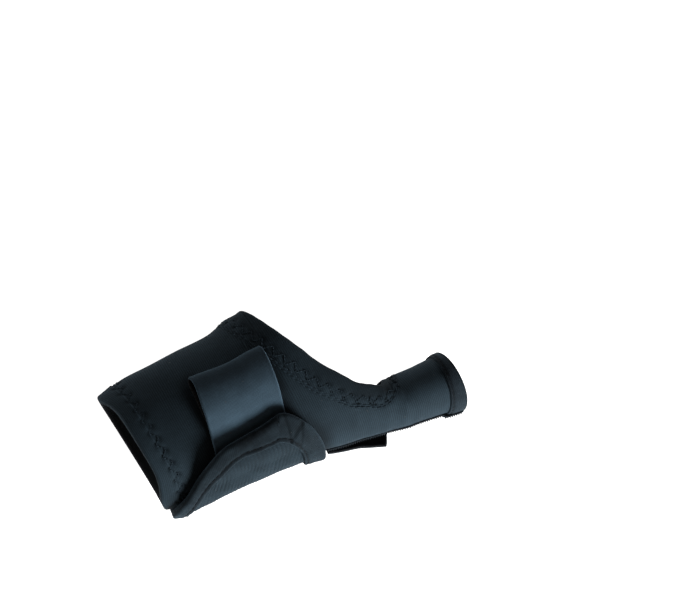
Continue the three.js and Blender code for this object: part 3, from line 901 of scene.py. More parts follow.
TAB_INNER_PAINTED_LIGHT = ClothFinish(
    "tab_inner_painted_light", (0.05, 0.055, 0.058), (0.2, 0.218, 0.23), Pattern.WEAVE, (0.8, 1.1),
    relief=0.1, fuzz=0.2, patch=0.5, patch_size=6.0, lint=0.05, sheen=0.1,
)
THREAD = ClothFinish(
    "sewing_thread", (0.0015, 0.002, 0.0025), (0.006, 0.008, 0.0105), Pattern.TWIST, (0.5, 0.4),
    relief=0.05, fuzz=0.03, patch=0.2, lint=0.0, roughness=0.6, sheen=0.05,
)
SOFT_THREAD = ClothFinish(
    "matching_thread", (0.0055, 0.0095, 0.0125), (0.02, 0.034, 0.0455), Pattern.TWIST, (0.5, 0.4),
    relief=0.05, fuzz=0.03, patch=0.2, lint=0.0, roughness=0.7, sheen=0.05,
)


def dress(piece: bpy.types.Object, finishes: Sequence[ClothFinish],
          node: str | None = None) -> None:
    """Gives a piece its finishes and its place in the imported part.

    Args:
        piece: The piece.
        finishes: Its finishes, in the order of its faces' material numbers.
        node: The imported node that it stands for, or None.
    """
    for finish in finishes:
        piece.data.materials.append(finish.material())
    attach(piece, "root")
    if node:
        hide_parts(node)
    log.info("%s: %d faces", piece.name, len(piece.data.polygons))


# the pieces


@dataclass
class WristSleeve:
    """The neoprene sleeve and thumb tube, with its turned hems and their stitching."""

    form: SleeveForm
    opening_hem: float = 11.2
    hem_rise: float = 0.3
    hem_step: float = 0.7
    hem_fade: Pair = (16.0, 6.0)
    row_spread: Pair = (1.18, 0.74)
    spread_fade: Pair = (26.0, 2.0)
    edge_radius: float = 1.5
    edge_points: int = 260
    near_opening: float = 14.0
    web_round: Triple = (1.0, 5.0, 2.5)
    unevenness: float = 0.09
    fold_along: tuple[float, ...] = (52.0, 64.0, 84.0, 96.0)
    fold_round: tuple[float, ...] = (100.0, 125.0, 150.0, 185.0)
    fold_height: float = 0.16
    fold_turn: Pair = (0.85, 0.02)
    bare_round: tuple[float, ...] = (60.0, 80.0, 285.0, 310.0)
    slack_height: float = 0.22
    slack_start: Pair = (-34.0, -20.0)
    stitched_band: Pair = (3.5, 18.0)
    stitched_cuff: Pair = (5.0, 15.0)
    zigzag: Pair = (6.2, 9.3)
    zigzag_pitch: float = 3.15
    run_lines: Pair = (10.4, 11.5)
    run_groove: Pair = (0.4, 0.6)
    run_stitch: Triple = (2.3, 0.6, 0.08)
    run_thread: float = 0.17
    zigzag_thread: float = 0.2
    leg_stitches: int = 3
    stitch_rise: tuple[float, ...] = (-0.5, 0.0, 0.12, 0.0)
    turn_dent: Pair = (1.0, 1.25)
    leg_dent: Pair = (0.12, 0.7)
    cuff_zigzag: Pair = (7.8, 11.8)
    # painted shade on the opening's turned hem and in the stitch dents, and painted shadow beside the flap
    # and the strap
    hem_shade: Pair = (0.32, 0.62)
    hem_shade_fade: Pair = (30.0, 12.0)
    hem_shade_end: Pair = (5.0, 10.5)
    dent_shade: Pair = (0.55, 1.5)
    edge_shadow: Pair = (0.6, 3.6)
    dimple: float = 0.5
    dimple_radius: float = 0.95
    pitch: float = 0.9
    wrist_rows: int = 72
    opening_rows: int = 82
    round_columns: int = 150
    steepest: float = 2.6
    made: list[bpy.types.Object] = field(default_factory=list)

    def hem_height(self, inside: Array, x: Array) -> Array:
        """How much the opening's turned hem stands up inside its edge, up to the web of the thumb."""
        start, stop = (self.form.web_x - before for before in self.hem_fade)
        fade = 1 - smooth_step(start, stop, x)
        inside = inside / self.spread(x)
        down = smooth_step(self.opening_hem - self.hem_step, self.opening_hem + self.hem_step, inside)
        return self.hem_rise * fade * (1 - down)

    def spread(self, x: Array) -> Array:
        """How much further inside its edge the stitching runs than its distances say."""
        start, stop = (self.form.web_x - before for before in self.spread_fade)
        return mix(*self.row_spread, smooth_step(start, stop, x))

    def grid(self) -> tuple[Array, Array]:
        """Lays out the sleeve's rows and columns.

        Returns:
            Places along the sleeve and angles, as [row, column].
        """
        f = self.form
        cuff = np.concatenate([
            [0, 0.15, 0.45, 0.9, 1.5], np.arange(2.3, 6.6, 0.85), np.arange(6.8, 13.0, 0.45),
        ])
        wrist = np.concatenate([cuff, np.linspace(13.4, f.wrist_length, self.wrist_rows)[:-1]])
        t = np.linspace(0, 1, self.opening_rows)
        opening = f.wrist_length + f.opening_length * (1 - np.cos(math.pi * t)) / 2
        tube = f.wrist_length + f.opening_length + dense_ends(f.tube_length, self.pitch, [0, 0.4, 0.9])[1:]
        xs = f.cuff_x + np.concatenate([wrist, opening, tube])
        edge = f.opening_angle(xs)
        steep = np.abs(np.gradient(edge, xs)) / f.degrees_for(xs, edge, 1.0)
        open_here = (xs >= f.opening_x) & (xs <= f.web_x)
        stretch = np.where(open_here, np.minimum(np.hypot(1, steep), self.steepest), 1.0)
        stretch = np.convolve(np.pad(stretch, 3, mode="edge"), np.ones(7) / 7, mode="valid")
        near = np.concatenate([
            [0, 0.15, 0.45, 0.9, 1.5, 2.4, 3.5, 4.6], np.arange(5.4, 14.5, 0.45), [15.2, 16.1],
        ])
        total = 2 * (180 - edge)
        per_mm = f.degrees_for(xs, 90 + edge / 4, 1.0)
        first = np.minimum(near[None] * (stretch * per_mm)[:, None], (total * 0.4)[:, None]
                           * (near / near[-1])[None])
        middle = np.linspace(0, 1, self.round_columns)[None, 1:-1]
        inner = mix(first[:, -1:], total[:, None] - first[:, -1:], middle)
        angles = np.concatenate([first, inner, total[:, None] - first[:, ::-1]], 1) + edge[:, None]
        return np.broadcast_to(xs[:, None], angles.shape).copy(), angles

    def build(self) -> None:
        """Makes the sleeve's mesh and its stitching."""
        f = self.form
        edge_x, edge_angle, into = f.opening_edge(self.edge_points)
        edge_line = f.layer(edge_x, edge_angle, np.full(len(edge_x), f.wall / 2))
        x, angle = self.grid()
        middle = f.layer(x, angle, np.full(x.shape, f.wall / 2))
        inside = np.full(x.shape, FAR)
        close = (x > f.opening_x - self.near_opening) & (x < f.web_x + self.near_opening)
        inside[close] = nearest(middle[close], edge_line)[0]
        open_rows = (x[:, 0] > f.opening_x + SLIGHT) & (x[:, 0] < f.web_x - SLIGHT)
        inside[open_rows, 0] = 0
        inside[open_rows, -1] = 0
        to_edge = np.minimum(inside, np.minimum(x - f.cuff_x, f.end_x - x))
        stitched = self.stitching(edge_x, edge_angle, into)
        top = f.top(x) + self.hem_height(inside, x) + self.unevenness * waves(middle, 5, (14, 38))
        top += self.wrinkles(x, angle, middle)
        band = between(inside, self.stitched_band) | between(x - f.cuff_x, self.stitched_cuff)
        surface = f.layer(x, angle, top)
        pit = np.zeros(x.shape)
        for spots, depth, radius in stitched:
            away = nearest(surface[band], spots)[0] / (radius * self.dimple_radius)
            pit[band] = np.maximum(pit[band], depth * np.exp(-away ** 2))
        top -= self.dimple * pit
        half = f.wall / 2
        flat, reach, extra = self.web_round
        at_web = np.exp(-(np.maximum(np.abs(x - f.web_x) - flat, 0) / reach) ** 2)
        round_edge = rounded(to_edge, self.edge_radius * (1 + extra * at_web))
        front = f.layer(x, angle, half + (top - half) * round_edge)
        back = f.layer(x, angle, half - half * round_edge)
        # the opening's turned hem is painted in shade, darker towards the web, and the stitch dents get
        # painted shade
        turned = 1 - smooth_step(*self.hem_shade_end, inside / self.spread(x))
        start, stop = (f.web_x - before for before in self.hem_shade_fade)
        wear_and_shade = turned * mix(*self.hem_shade, smooth_step(start, stop, x))
        deepest, power = self.dent_shade
        dark = 1 - (1 - deepest * pit ** power) * (1 - wear_and_shade)
        # painted shadow on the sleeve beside the flap's rim and the strap's sides
        for line in (ClosureFlap(f).rim(), *PullStrap(f).sides()):
            dark = 1 - (1 - dark) * (1 - painted_edge_shadow(front, line, *self.edge_shadow))
        self.made.append(self.shell(front, back, open_rows, dark))

    def wrinkles(self, x: Array, angle: Array, middle: Array) -> Array:
        """Raises the few folds that the cloth takes at the wrist and at the web of the thumb.

        Args:
            x: Places along the sleeve.
            angle: Angles round it.
            middle: The points there.

        Returns:
            Heights to add.
        """
        f = self.form
        rise, full, fall, gone = self.fold_along
        bend = smooth_step(rise, full, x) * (1 - smooth_step(fall, gone, x))
        rise, full, fall, gone = self.fold_round
        bend = bend * smooth_step(rise, full, angle) * (1 - smooth_step(fall, gone, angle))
        along, lean = self.fold_turn
        folds = self.fold_height * np.sin((x - f.opening_x) * along + lean * angle) * bend
        full, gone, rise, top = self.bare_round
        bare = (1 - smooth_step(full, gone, angle)) + smooth_step(rise, top, angle)
        slack = self.slack_height * waves(middle * np.array([0.45, 1, 1]), 11, (11, 24), 5)
        return folds + slack * bare * smooth_step(*self.slack_start, x)

    def shell(self, front: Array, back: Array, open_rows: Array, shade: Array) -> bpy.types.Object:
        """Closes the wall round its outside and its lining.

        Args:
            front: The outside's points as [row, column].
            back: The lining's.
            open_rows: True in the rows where the hand opening parts the columns.
            shade: How dark the outside is.

        Returns:
            The sleeve.
        """
        rows, columns = front.shape[:2]
        ahead = np.arange(rows * columns).reshape(rows, columns)
        behind = ahead + rows * columns
        behind[0], behind[-1] = ahead[0], ahead[-1]
        behind[open_rows, 0], behind[open_rows, -1] = ahead[open_rows, 0], ahead[open_rows, -1]
        ahead[~open_rows, -1] = ahead[~open_rows, 0]
        behind[~open_rows, -1] = behind[~open_rows, 0]
        behind[0, -1], behind[-1, -1] = ahead[0, 0], ahead[-1, 0]
        start, end = np.flatnonzero(open_rows)[0] - 1, np.flatnonzero(open_rows)[-1] + 1
        for corner in (start, end):
            behind[corner, 0] = behind[corner, -1] = ahead[corner, 0]
        reach = np.stack([run_length(front[:, columns // 2])] * columns, 1)
        arc = run_across(front)
        cloth = np.stack([reach, arc - arc[:, columns // 2:columns // 2 + 1]], -1)
        points = np.concatenate([front.reshape(-1, 3), back.reshape(-1, 3)])
        used = np.unique(np.concatenate([ahead.ravel(), behind.ravel()]))
        number = np.zeros(len(points), int)
        number[used] = np.arange(len(used))
        shades = np.concatenate([shade.ravel(), np.zeros(shade.size)])[used]
        skins = [grid_skin(number[ahead], cloth, 0), grid_skin(number[behind], cloth, 1, flip=True)]
        return make_piece("splint_sleeve", points[used], skins, shades)

    def stitching(self, edge_x: Array, edge_angle: Array, into: Array) -> list[tuple[Array, float, float]]:
        """Sews the zigzag and the double line inside the opening, and the zigzag at the cuff.

        Args:
            edge_x: The opening's edge, as places along the sleeve.
            edge_angle: Its angles.
            into: The directions into the cloth.

        Returns:
            Where the needle went through, with the dents' share of the full depth and width.
        """
        f = self.form
        spread = self.spread(edge_x)
        rows = [f.walk(edge_x, edge_angle, into, distance * spread) for distance in self.zigzag]
        spots = self.sew_zigzag("opening_zigzag", rows, lambda x: f.top(x) + self.hem_height(8.0, x))
        around = np.linspace(0, 360, 400)
        rows = [(np.full(400, f.cuff_x + d), around) for d in self.cuff_zigzag]
        spots += self.sew_zigzag("cuff_zigzag", rows, f.top)
        runs = []
        for distance in self.run_lines:
            x, angle = f.walk(edge_x, edge_angle, into, distance * spread)
            line = f.layer(x, angle, f.top(x) + self.hem_height(distance * spread, x))
            runs += stitch_run(line, f.outward(x, angle), *self.run_stitch)
            spots.append((line, *self.run_groove))
        self.made.append(thread("opening_twin_line", runs, self.run_thread))
        return spots

    def sew_zigzag(self, name: str, rows: Sequence[tuple[Array, Array]],
                   height: Callable[[Array], Array]) -> list[tuple[Array, float, float]]:
        """Sews one zigzag between two lines, with a few stitches on each of its legs.

        Args:
            name: The stitching's name.
            rows: The two lines, as places along the sleeve and angles.
            height: The cloth's height there.

        Returns:
            The needle's points at the turns and on the legs, each with its dents' share of depth and width.
        """
        f = self.form
        sides = [f.layer(x, angle, height(x)) for x, angle in rows]
        reach = run_length((sides[0] + sides[1]) / 2)
        count = int(reach[-1] / (2 * self.zigzag_pitch)) * 2
        places = np.interp(np.linspace(0, reach[-1], count + 1), reach, np.arange(len(reach)))
        turn = np.arange(count + 1) % 2
        x, angle = (np.where(turn == 0, *(np.interp(places, np.arange(len(reach)), row[k]) for row in rows))
                    for k in (0, 1))
        rise = np.tile(self.stitch_rise, self.leg_stitches * count)
        steps = self.leg_stitches * len(self.stitch_rise)
        share = np.arange(steps)[None] / steps
        leg_x = (x[:-1, None] + np.diff(x)[:, None] * share).ravel()
        leg_angle = (angle[:-1, None] + np.diff(angle)[:, None] * share).ravel()
        run = f.layer(leg_x, leg_angle, height(leg_x) + rise), f.outward(leg_x, leg_angle)
        self.made.append(thread(name, [run], self.zigzag_thread))
        on_leg = np.flatnonzero(np.arange(len(leg_x)) % steps % len(self.stitch_rise) == 0)
        on_leg = on_leg[on_leg % steps != 0]
        on_legs = f.layer(leg_x[on_leg], leg_angle[on_leg], height(leg_x[on_leg]))
        return [(f.layer(x, angle, height(x)), *self.turn_dent), (on_legs, *self.leg_dent)]

    def dress(self) -> None:
        """Gives the sleeve and its stitching their finishes."""
        for piece in self.made:
            if piece.name == "splint_sleeve":
                dress(piece, [JERSEY, LINING], "sleeve")
            else:
                dress(piece, [SOFT_THREAD])


@dataclass
class ThumbEnd:
    """The band folded over the thumb tube's end and the overlocked seam that runs up to it."""

    form: SleeveForm
    band: float = 7.5
    narrowing: float = 3.8
    inside: float = 5.0
    thickness: float = 1.3
    fold: float = 0.9
    stitch_inset: float = 1.3
    stitch: Triple = (2.1, 0.6, 0.12)
    stitch_thread: float = 0.17
    seam_angle: float = 187.0
    seam_start: float = 42.4
    seam_width: float = 3.0
    seam_height: float = 1.3
    loop_pitch: float = 1.15
    loop_thread: float = 0.21
    sunk: float = 0.2
    made: list[bpy.types.Object] = field(default_factory=list)

    def band_edge(self, angle: Array) -> Array:
        """How far from the tube's end the band's outer edge is."""
        return self.narrowing * (1 + np.cos(np.radians(angle))) / 2 - self.band

    def build(self) -> None:
        """Makes the band and the seam."""
        self.made = [self.fold_over(), self.band_stitches(), self.seam_core(), self.seam_loops()]

    def fold_over(self) -> bpy.types.Object:
        """Makes the folded band."""
        f = self.form
        angle = np.linspace(0, 360, 180, endpoint=False)
        edge = self.band_edge(angle)[:, None]
        high, low = f.wall + self.thickness, f.wall + 0.3
        turn = np.radians(np.linspace(90, -90, 15))
        mid, half = f.wall / 2, f.wall / 2 + self.thickness
        end = 1.5 - self.fold
        flat = np.linspace(0, 1, 9)[None, 1:-1]
        lip = np.array([0, 0, 0.15, 0.7, 1.5])
        lip_up = np.array([low, low + 0.25, low + 0.5, low + 0.75, high - 0.1])
        inner = [
            (end + self.fold * np.cos(turn), mid + half * np.sin(turn)),
            (np.linspace(end, 0.6 - self.inside, 6)[1:], np.full(5, -self.thickness)),
            (np.array([0.15, 0, 0.1, 1.0]) - self.inside, [-1.15, -0.8, -0.42, -0.3]),
            (np.array([-0.6, 0.35, 0.35]), [-0.3, -0.1, f.wall + 0.2]),
        ]
        along = [edge + lip[None], mix(edge + 1.5, end, flat)]
        along += [np.broadcast_to(run, (len(angle), len(run))) for run, _ in inner]
        along = np.concatenate(along, 1)
        height = np.concatenate([lip_up, np.full(flat.size, high), *(up for _, up in inner)])
        height = np.broadcast_to(height, along.shape).copy()
        x, around = f.end_x + along, np.broadcast_to(angle[:, None], along.shape)
        outside = (height > mid) & (along < end + 0.2)
        line = edge + self.stitch_inset
        groove = np.exp(-((along - line) / 0.5) ** 2)
        arc = angle[:, None] * 0.24
        pucker = 0.5 + 0.5 * np.sin(arc * 2 * math.pi / 2.7)
        height -= outside * groove * (0.22 + 0.15 * pucker)
        height -= outside * 0.2 * smooth_step(end - 2, end, along)
        points = f.layer(x, around, height)
        height_map = run_round(points)
        arc_map = np.broadcast_to(np.linspace(0, 84, 181)[:, None], (181, height_map.shape[1]))
        cloth = np.stack([np.concatenate([height_map, height_map[:1]]), arc_map], -1)
        # painted shade in the stitch groove
        shade = 0.55 * outside * groove
        return sweep("thumb_band", points, cloth, shade, ring=True)

    def band_stitches(self) -> bpy.types.Object:
        """Sews the band down."""
        f = self.form
        angle = np.linspace(0, 360, 361)
        x = f.end_x + self.band_edge(angle) + self.stitch_inset
        line, out = f.layer(x, angle, np.full(361, f.wall + self.thickness - 0.45)), f.outward(x, angle)
        return thread("thumb_band_stitches", stitch_run(line, out, *self.stitch), self.stitch_thread)

    def base(self, x: Array) -> Array:
        """The height of what the seam lies on."""
        start = self.form.end_x - self.band
        over = self.thickness + 0.1
        drop = 0.2 * smooth_step(self.form.end_x - 2, self.form.end_x, x)
        return self.form.wall + 0.04 + over * smooth_step(start - 2 * over, start - 0.3, x) - drop

    def under(self, x: Array) -> Array:
        """The height of the seam's underside, which sinks into what carries it."""
        start = self.form.end_x - self.band
        return self.form.wall - 0.35 + self.thickness * smooth_step(start - 0.1, start + 0.9, x)

    def seam_core(self) -> bpy.types.Object:
        """Makes the padded ridge under the seam's threads."""
        f = self.form
        x = np.arange(self.seam_start, f.end_x + 1.2, 0.35)
        taper = rounded(np.minimum(x - x[0], 3 * (x[-1] - x)), 1.6)
        share = np.linspace(0, 1, 11)
        over = np.sin(math.pi * share)[None] ** 0.6
        pulled = 1 - 0.16 * (0.5 + 0.5 * np.cos(x * 2 * math.pi / self.loop_pitch))[:, None]
        high = (self.seam_height - 0.25) * over * pulled * (0.35 + 0.65 * taper[:, None])
        aside = (share - 0.5)[None] * self.seam_width * (0.75 + 0.25 * taper[:, None])
        aside = np.concatenate([aside, aside[:, -2:0:-3]], 1)
        under = (self.under(x) - self.base(x))[:, None]
        high = np.concatenate([high - self.sunk, np.repeat(under, aside.shape[1] - 11, 1)], 1)
        high[:, [0, 10]] = under
        around = self.seam_angle + f.degrees_for(x, self.seam_angle, 1.0)[:, None] * aside
        points = f.layer(np.broadcast_to(x[:, None], aside.shape), around, self.base(x)[:, None] + high)
        arc = np.concatenate([aside, aside[:, :1] + 2 * self.seam_width], 1)
        cloth = np.stack([np.broadcast_to(x[:, None], arc.shape), arc], -1)
        return sweep("thumb_seam_ridge", points, cloth)

    def seam_loops(self) -> bpy.types.Object:
        """Winds the overlocking threads over the ridge, with a chain along each side."""
        f = self.form
        runs = []
        share = np.linspace(-0.54, 0.54, 9)
        for start in np.arange(self.seam_start + 1, f.end_x + 0.1, self.loop_pitch):
            x = start + self.loop_pitch * 0.9 * (share + 0.5)
            around = self.seam_angle + f.degrees_for(x, self.seam_angle, 1.0) * share * self.seam_width
            lift = (self.seam_height - 0.15) * np.cos(math.pi * share * 0.86) ** 0.6
            runs.append((f.layer(x, around, self.base(x) + lift), f.outward(x, around)))
        for side in (-0.5, 0.5):
            x = np.arange(self.seam_start + 0.6, f.end_x + 0.4, 0.38)
            aside = side * self.seam_width + 0.16 * np.sin(x * 2 * math.pi / self.loop_pitch)
            around = self.seam_angle + f.degrees_for(x, self.seam_angle, 1.0) * aside
            lift = 0.28 + 0.1 * np.cos(x * 2 * math.pi / self.loop_pitch)
            runs.append((f.layer(x, around, self.base(x) + lift), f.outward(x, around)))
        return thread("thumb_seam_threads", runs, self.loop_thread)

    def dress(self) -> None:
        """Gives the band, the seam and their threads their finishes."""
        band, stitches, core, loops = self.made
        dress(band, [BINDING], "thumb_hem")
        dress(stitches, [THREAD])
        dress(core, [BINDING], "thumb_seam")
        dress(loops, [THREAD])


def stitch_run(line: Array, out: Array, stitch: float, gap: float, rise: float) -> list[tuple[Array, Array]]:
    """Cuts a line into running stitches whose ends dive into the cloth.

    Args:
        line: The line's points.
        out: The directions out of the cloth.
        stitch: Each stitch's length.
        gap: The space between two.
        rise: How far a stitch stands up.

    Returns:
        Each stitch's points and directions.
    """
    reach = run_length(line)
    runs = []
    for start in np.arange(0, reach[-1] - stitch, stitch + gap):
        at = np.linspace(start, start + stitch, 6)
        place = np.stack([np.interp(at, reach, line[:, k]) for k in range(3)], -1)
        over = unit(np.stack([np.interp(at, reach, out[:, k]) for k in range(3)], -1))
        lift = rise * np.array([-2, 0, 1, 1, 0, -2])[:, None]
        runs.append((place + over * lift, over))
    return runs


@dataclass
class ClosureFlap:
    """The ribbed flap that comes round from the palm, and the wide hem round its three free sides."""

    form: SleeveForm
    length: float = 77.0
    cuff_inset: float = 3.5
    thickness: float = 2.6
    sewn_angle: float = 262.0
    top_angle: float = 119.0
    top_rise: float = 5.0
    # each corner's length along the sleeve, the angle where it begins and how square it is
    cuff_corner: Triple = (38.0, 180.0, 1.62)
    thumb_corner: Triple = (15.0, 165.0, 2.0)
    hem_width: Pair = (7.0, 10.5)
    hem_thickness: float = 1.3
    ramp: Pair = (14.0, 20.0)
    end_ramp: float = 7.0
    end_drop: float = 0.6
    strap_edge: float = -7.8
    strap_sewn: float = 136.0
    strap_room: float = 2.2
    corner_share: float = 0.45
    tuck: float = 0.19
    rib_pitch: float = 1.8
    rib_turn: float = -14.0
    seam_inset: float = 1.7
    stitch: Triple = (2.3, 0.7, 0.12)
    stitch_thread: float = 0.18
    roll_width: Pair = (1.5, 2.4)
    rolled: tuple[float, ...] = (92.0, 106.0, 112.0, 132.0)
    # where along the outline the hem's rolled edge is painted in shade, and how dark; then the painted shade
    # of the seam groove and of the creases
    roll_shade_reach: tuple[float, ...] = (95.0, 105.0, 115.0, 125.0)
    roll_shade: float = 0.6
    seam_shade: float = 0.55
    crease_shade: float = 0.35
    creased: tuple[tuple[float, float, float, float], ...] = (
        (128.5, 0.55, 0.8, 0.3), (133, -0.5, 0.8, 0.34), (137, 0.4, 0.7, 0.2),
    )
    made: list[bpy.types.Object] = field(default_factory=list)

    @property
    def start_x(self) -> float:
        """The flap's side near the forearm."""
        return self.form.cuff_x + self.cuff_inset

    @property
    def end_x(self) -> float:
        """Its side near the thumb."""
        return self.start_x + self.length

    def base(self, x: Array, angle: Array) -> Array:
        """The height of the flap's underside, which the strap's sewn end lifts."""
        along = smooth_step(self.strap_edge - self.ramp[0], self.strap_edge, x)
        around = smooth_step(self.strap_sewn + self.ramp[1], self.strap_sewn, angle)
        down = self.end_drop * smooth_step(self.end_x - self.end_ramp, self.end_x, x)
        return self.form.cover(x) + self.strap_room * along * around * (1 - down)

    def top(self, share: Array, inset: Array) -> Array:
        """The angle of the free edge on the back of the hand, or of a line inside it."""
        x = mix(self.start_x + self.cuff_corner[0], self.end_x - self.thumb_corner[0], share)
        within = self.form.degrees_for(x, self.top_angle, mix(*self.hem_width, share) * inset)
        return self.top_angle - self.top_rise * share + within

    def place(self, share: Array, down: Array, inset: Array) -> tuple[Array, Array]:
        """Finds a place on the flap.

        Args:
            share: The share of its length.
            down: The share of the way from its top edge to where it is sewn.
            inset: 0 on the edge and 1 on the hem's inner line.

        Returns:
            The place along the sleeve and the angle.
        """
        share, down, inset = np.broadcast_arrays(*(np.asarray(v, float) for v in (share, down, inset)))
        angle = mix(self.top(share, inset), self.sewn_angle, down)
        cuts = []
        for (_, begin, square), end in ((self.cuff_corner, 0.0), (self.thumb_corner, 1.0)):
            top = self.top(np.full(share.shape, end), inset)
            t = np.clip((begin - angle) / (begin - top), 0, 1)
            cuts.append(1 - (1 - t ** square) ** (1 / square))
        cuff, thumb = self.hem_width[0] * inset, self.hem_width[1] * inset
        start = self.start_x + cuff + (self.cuff_corner[0] - cuff / 2) * cuts[0]
        end = self.end_x - thumb - (self.thumb_corner[0] - thumb / 2) * cuts[1]
        return mix(start, end, share), angle

    def outline(self, inset: float) -> tuple[Array, Array]:
        """Follows the flap's three free sides, from the palm at the forearm's side."""
        side = np.linspace(0, 1, 150)
        side = np.where(side < 0.6, self.corner_share * (side / 0.6) ** 1.4,
                        mix(self.corner_share, 1, (side - 0.6) / 0.4))
        top = np.linspace(0, 1, 50)[1:-1]
        share = np.concatenate([np.zeros(150), top, np.ones(150)])
        down = np.concatenate([side[::-1], np.zeros(48), side])
        return self.place(share, down, inset)

    def rim(self) -> Array:
        """Follows the foot of the flap's free edge."""
        edge = self.outline(0.0)
        return self.form.layer(*edge, self.base(*edge) + 1.0)

    def build(self) -> None:
        """Makes the panel, the hem and their stitching."""
        self.made = [self.panel(), *self.hem()]

    def panel(self) -> bpy.types.Object:
        """Makes the ribbed panel."""
        f = self.form
        share = dense_ends(self.length, 0.3, [0, 0.1, 0.3, 0.6, 0.9]) / self.length
        down = np.concatenate([
            [0, 0.002, 0.005, 0.01, 0.018], np.linspace(0.03, 0.985, 84), [0.992, 0.997, 1],
        ])
        x, angle = self.place(share[None], down[:, None], self.tuck)
        middle = f.layer(x, angle, self.base(x, angle) + self.thickness / 2)
        rim = np.concatenate([middle[:, 0], middle[0], middle[:, -1], middle[-1]])
        away = nearest(middle.reshape(-1, 3), rim)[0].reshape(x.shape)
        away[0] = away[-1] = 0
        away[:, 0] = away[:, -1] = 0
        soft = rounded(away, 1.1)
        arc = run_length(middle)
        cloth = np.stack([run_across(middle) + x[:, :1] - x.min(), arc - arc[-1:]], -1)
        turn = math.radians(self.rib_turn)
        across = cloth[..., 0] * math.cos(turn) - cloth[..., 1] * math.sin(turn)
        rib = np.abs(np.sin(math.pi * across / self.rib_pitch + 0.5 * waves(middle, 3, (6, 20))))
        deep = np.clip(0.7 + 0.35 * waves(middle, 8, (5, 13)), 0.2, 1.3)
        relief = 0.2 * rib * deep + 0.16 * waves(middle, 21, (9, 26))
        half = self.thickness / 2
        base = self.base(x, angle)
        front = f.layer(x, angle, base + half + (half + relief * smooth_step(0.6, 2.5, away)) * soft)
        back = f.layer(x, angle, base + half - half * soft)
        # painted shade in the hollows between the ribs
        gap = 0.5 * (1 - rib) ** 1.4 * deep * smooth_step(0.5, 2, away)
        return join_layers("flap_panel", front, back, cloth, (0, 1), gap)

    def hem(self) -> list[bpy.types.Object]:
        """Makes the hem and its stitch line."""
        f = self.form
        outer, inner = self.outline(0.0), self.outline(1.0)
        edge = f.layer(*outer, self.base(*outer) + 3)
        reach = run_length(edge)
        even = np.linspace(0, reach[-1], int(reach[-1] / 0.8))
        outer, inner = ([np.interp(even, reach, v) for v in side] for side in (outer, inner))
        width = np.linalg.norm(f.lining(*outer) - f.lining(*inner), axis=-1)
        high = self.thickness + 0.3 + self.hem_thickness
        roll = self.roll(even)
        low = self.thickness + 0.12
        flat = np.linspace(0, 1, 15)[None, 1:-1]
        w = width[:, None]
        lip = np.array([0.0, 0.0, 0.22, 0.6, 1.1])
        lip_up = np.array([low, high - 0.75, high - 0.25, high - 0.06, high])
        turn = np.radians(np.linspace(0, 90, 9))[1:]
        out_in = np.concatenate([w - lip[None], mix(w - 1.1, roll[:, None], flat),
                                 roll[:, None] * (1 - np.sin(turn))[None] + 0.08,
                                 np.broadcast_to([0.1, 0.28, 0.7, 1.1, 1.16, 1.2], (len(even), 6))], 1)
        drop = 2.2
        up = np.concatenate([lip_up, np.full(13, high), high - drop * (1 - np.cos(turn)),
                             [1.0, 0.5, 0.22, 0.3, 1.0, low]])
        up = np.broadcast_to(up, out_in.shape).copy()
        share = out_in / w
        x = mix(outer[0][:, None], inner[0][:, None], share)
        angle = mix(outer[1][:, None], inner[1][:, None], share)
        base = self.base(x, angle)
        on_top = (up > self.thickness + 0.4) & (out_in > 0.3)
        seam = w - self.seam_inset
        groove = np.exp(-((out_in - seam) / 0.55) ** 2)
        pucker = 0.5 + 0.5 * np.sin(even[:, None] * 2 * math.pi / 3.1 + 0.8 * np.sin(even[:, None] * 0.37))
        place = f.lining(x, angle)
        up -= on_top * groove * (0.35 + 0.2 * pucker)
        beside = np.exp(-((out_in - seam + 1.4) / 1.2) ** 2)
        up += on_top * (0.16 * waves(place, 31, (5, 14)) + 0.1 * pucker * beside)
        creases, dark = self.creases(even[:, None], out_in, w)
        # the hem's rolled outer edge over the strap, turned from the light, is painted in shade with a ragged
        # border
        rise, full, fall, gone = self.roll_shade_reach
        in_roll_shade = smooth_step(rise, full, even) * (1 - smooth_step(fall, gone, even))
        ragged = out_in + 0.7 * waves(place, 77, (2, 6))
        dark = dark + self.roll_shade * in_roll_shade[:, None] * (1 - smooth_step(1.6, 4.4, ragged))
        up += on_top * creases
        points = f.layer(x, angle, base + up)
        round_it = run_round(points)
        cloth = np.stack([np.broadcast_to(even[:, None], round_it.shape), round_it], -1)
        # painted shade in the stitch groove, in the creases and on the rolled edge
        shade = np.clip(on_top * (self.seam_shade * groove + dark), 0, 0.85)
        band = sweep("flap_hem_band", points, cloth, shade)
        seam_share = (seam / w)[:, 0]
        sx, sa = (mix(o, i, seam_share) for o, i in zip(outer, inner))
        line = f.layer(sx, sa, self.base(sx, sa) + high - 0.35)
        runs = stitch_run(line, f.outward(sx, sa), *self.stitch)
        return [band, thread("flap_hem_stitches", runs, self.stitch_thread)]

    def roll(self, reach: Array) -> Array:
        """How wide the hem's rolled outer edge is along the outline."""
        rise, full, fall, gone = self.rolled
        plain, extra = self.roll_width
        return plain + extra * smooth_step(rise, full, reach) * (1 - smooth_step(fall, gone, reach))

    def creases(self, reach: Array, inside: Array, width: Array) -> tuple[Array, Array]:
        """Crumples the hem where it turns the corner near the thumb.

        Args:
            reach: How far along the outline.
            inside: How far inside the edge.
            width: The hem's width there.

        Returns:
            Heights to add, and the painted shade in the creases.
        """
        height, dark = 0.0, 0.0
        for start, lean, size, deep in self.creased:
            away = (reach - start - lean * (inside - width / 2)) / size
            dip = np.exp(-away ** 2)
            height = height - deep * dip + 0.4 * deep * np.exp(-(away - 1.8) ** 2)
            dark = dark + self.crease_shade * dip
        return height, dark

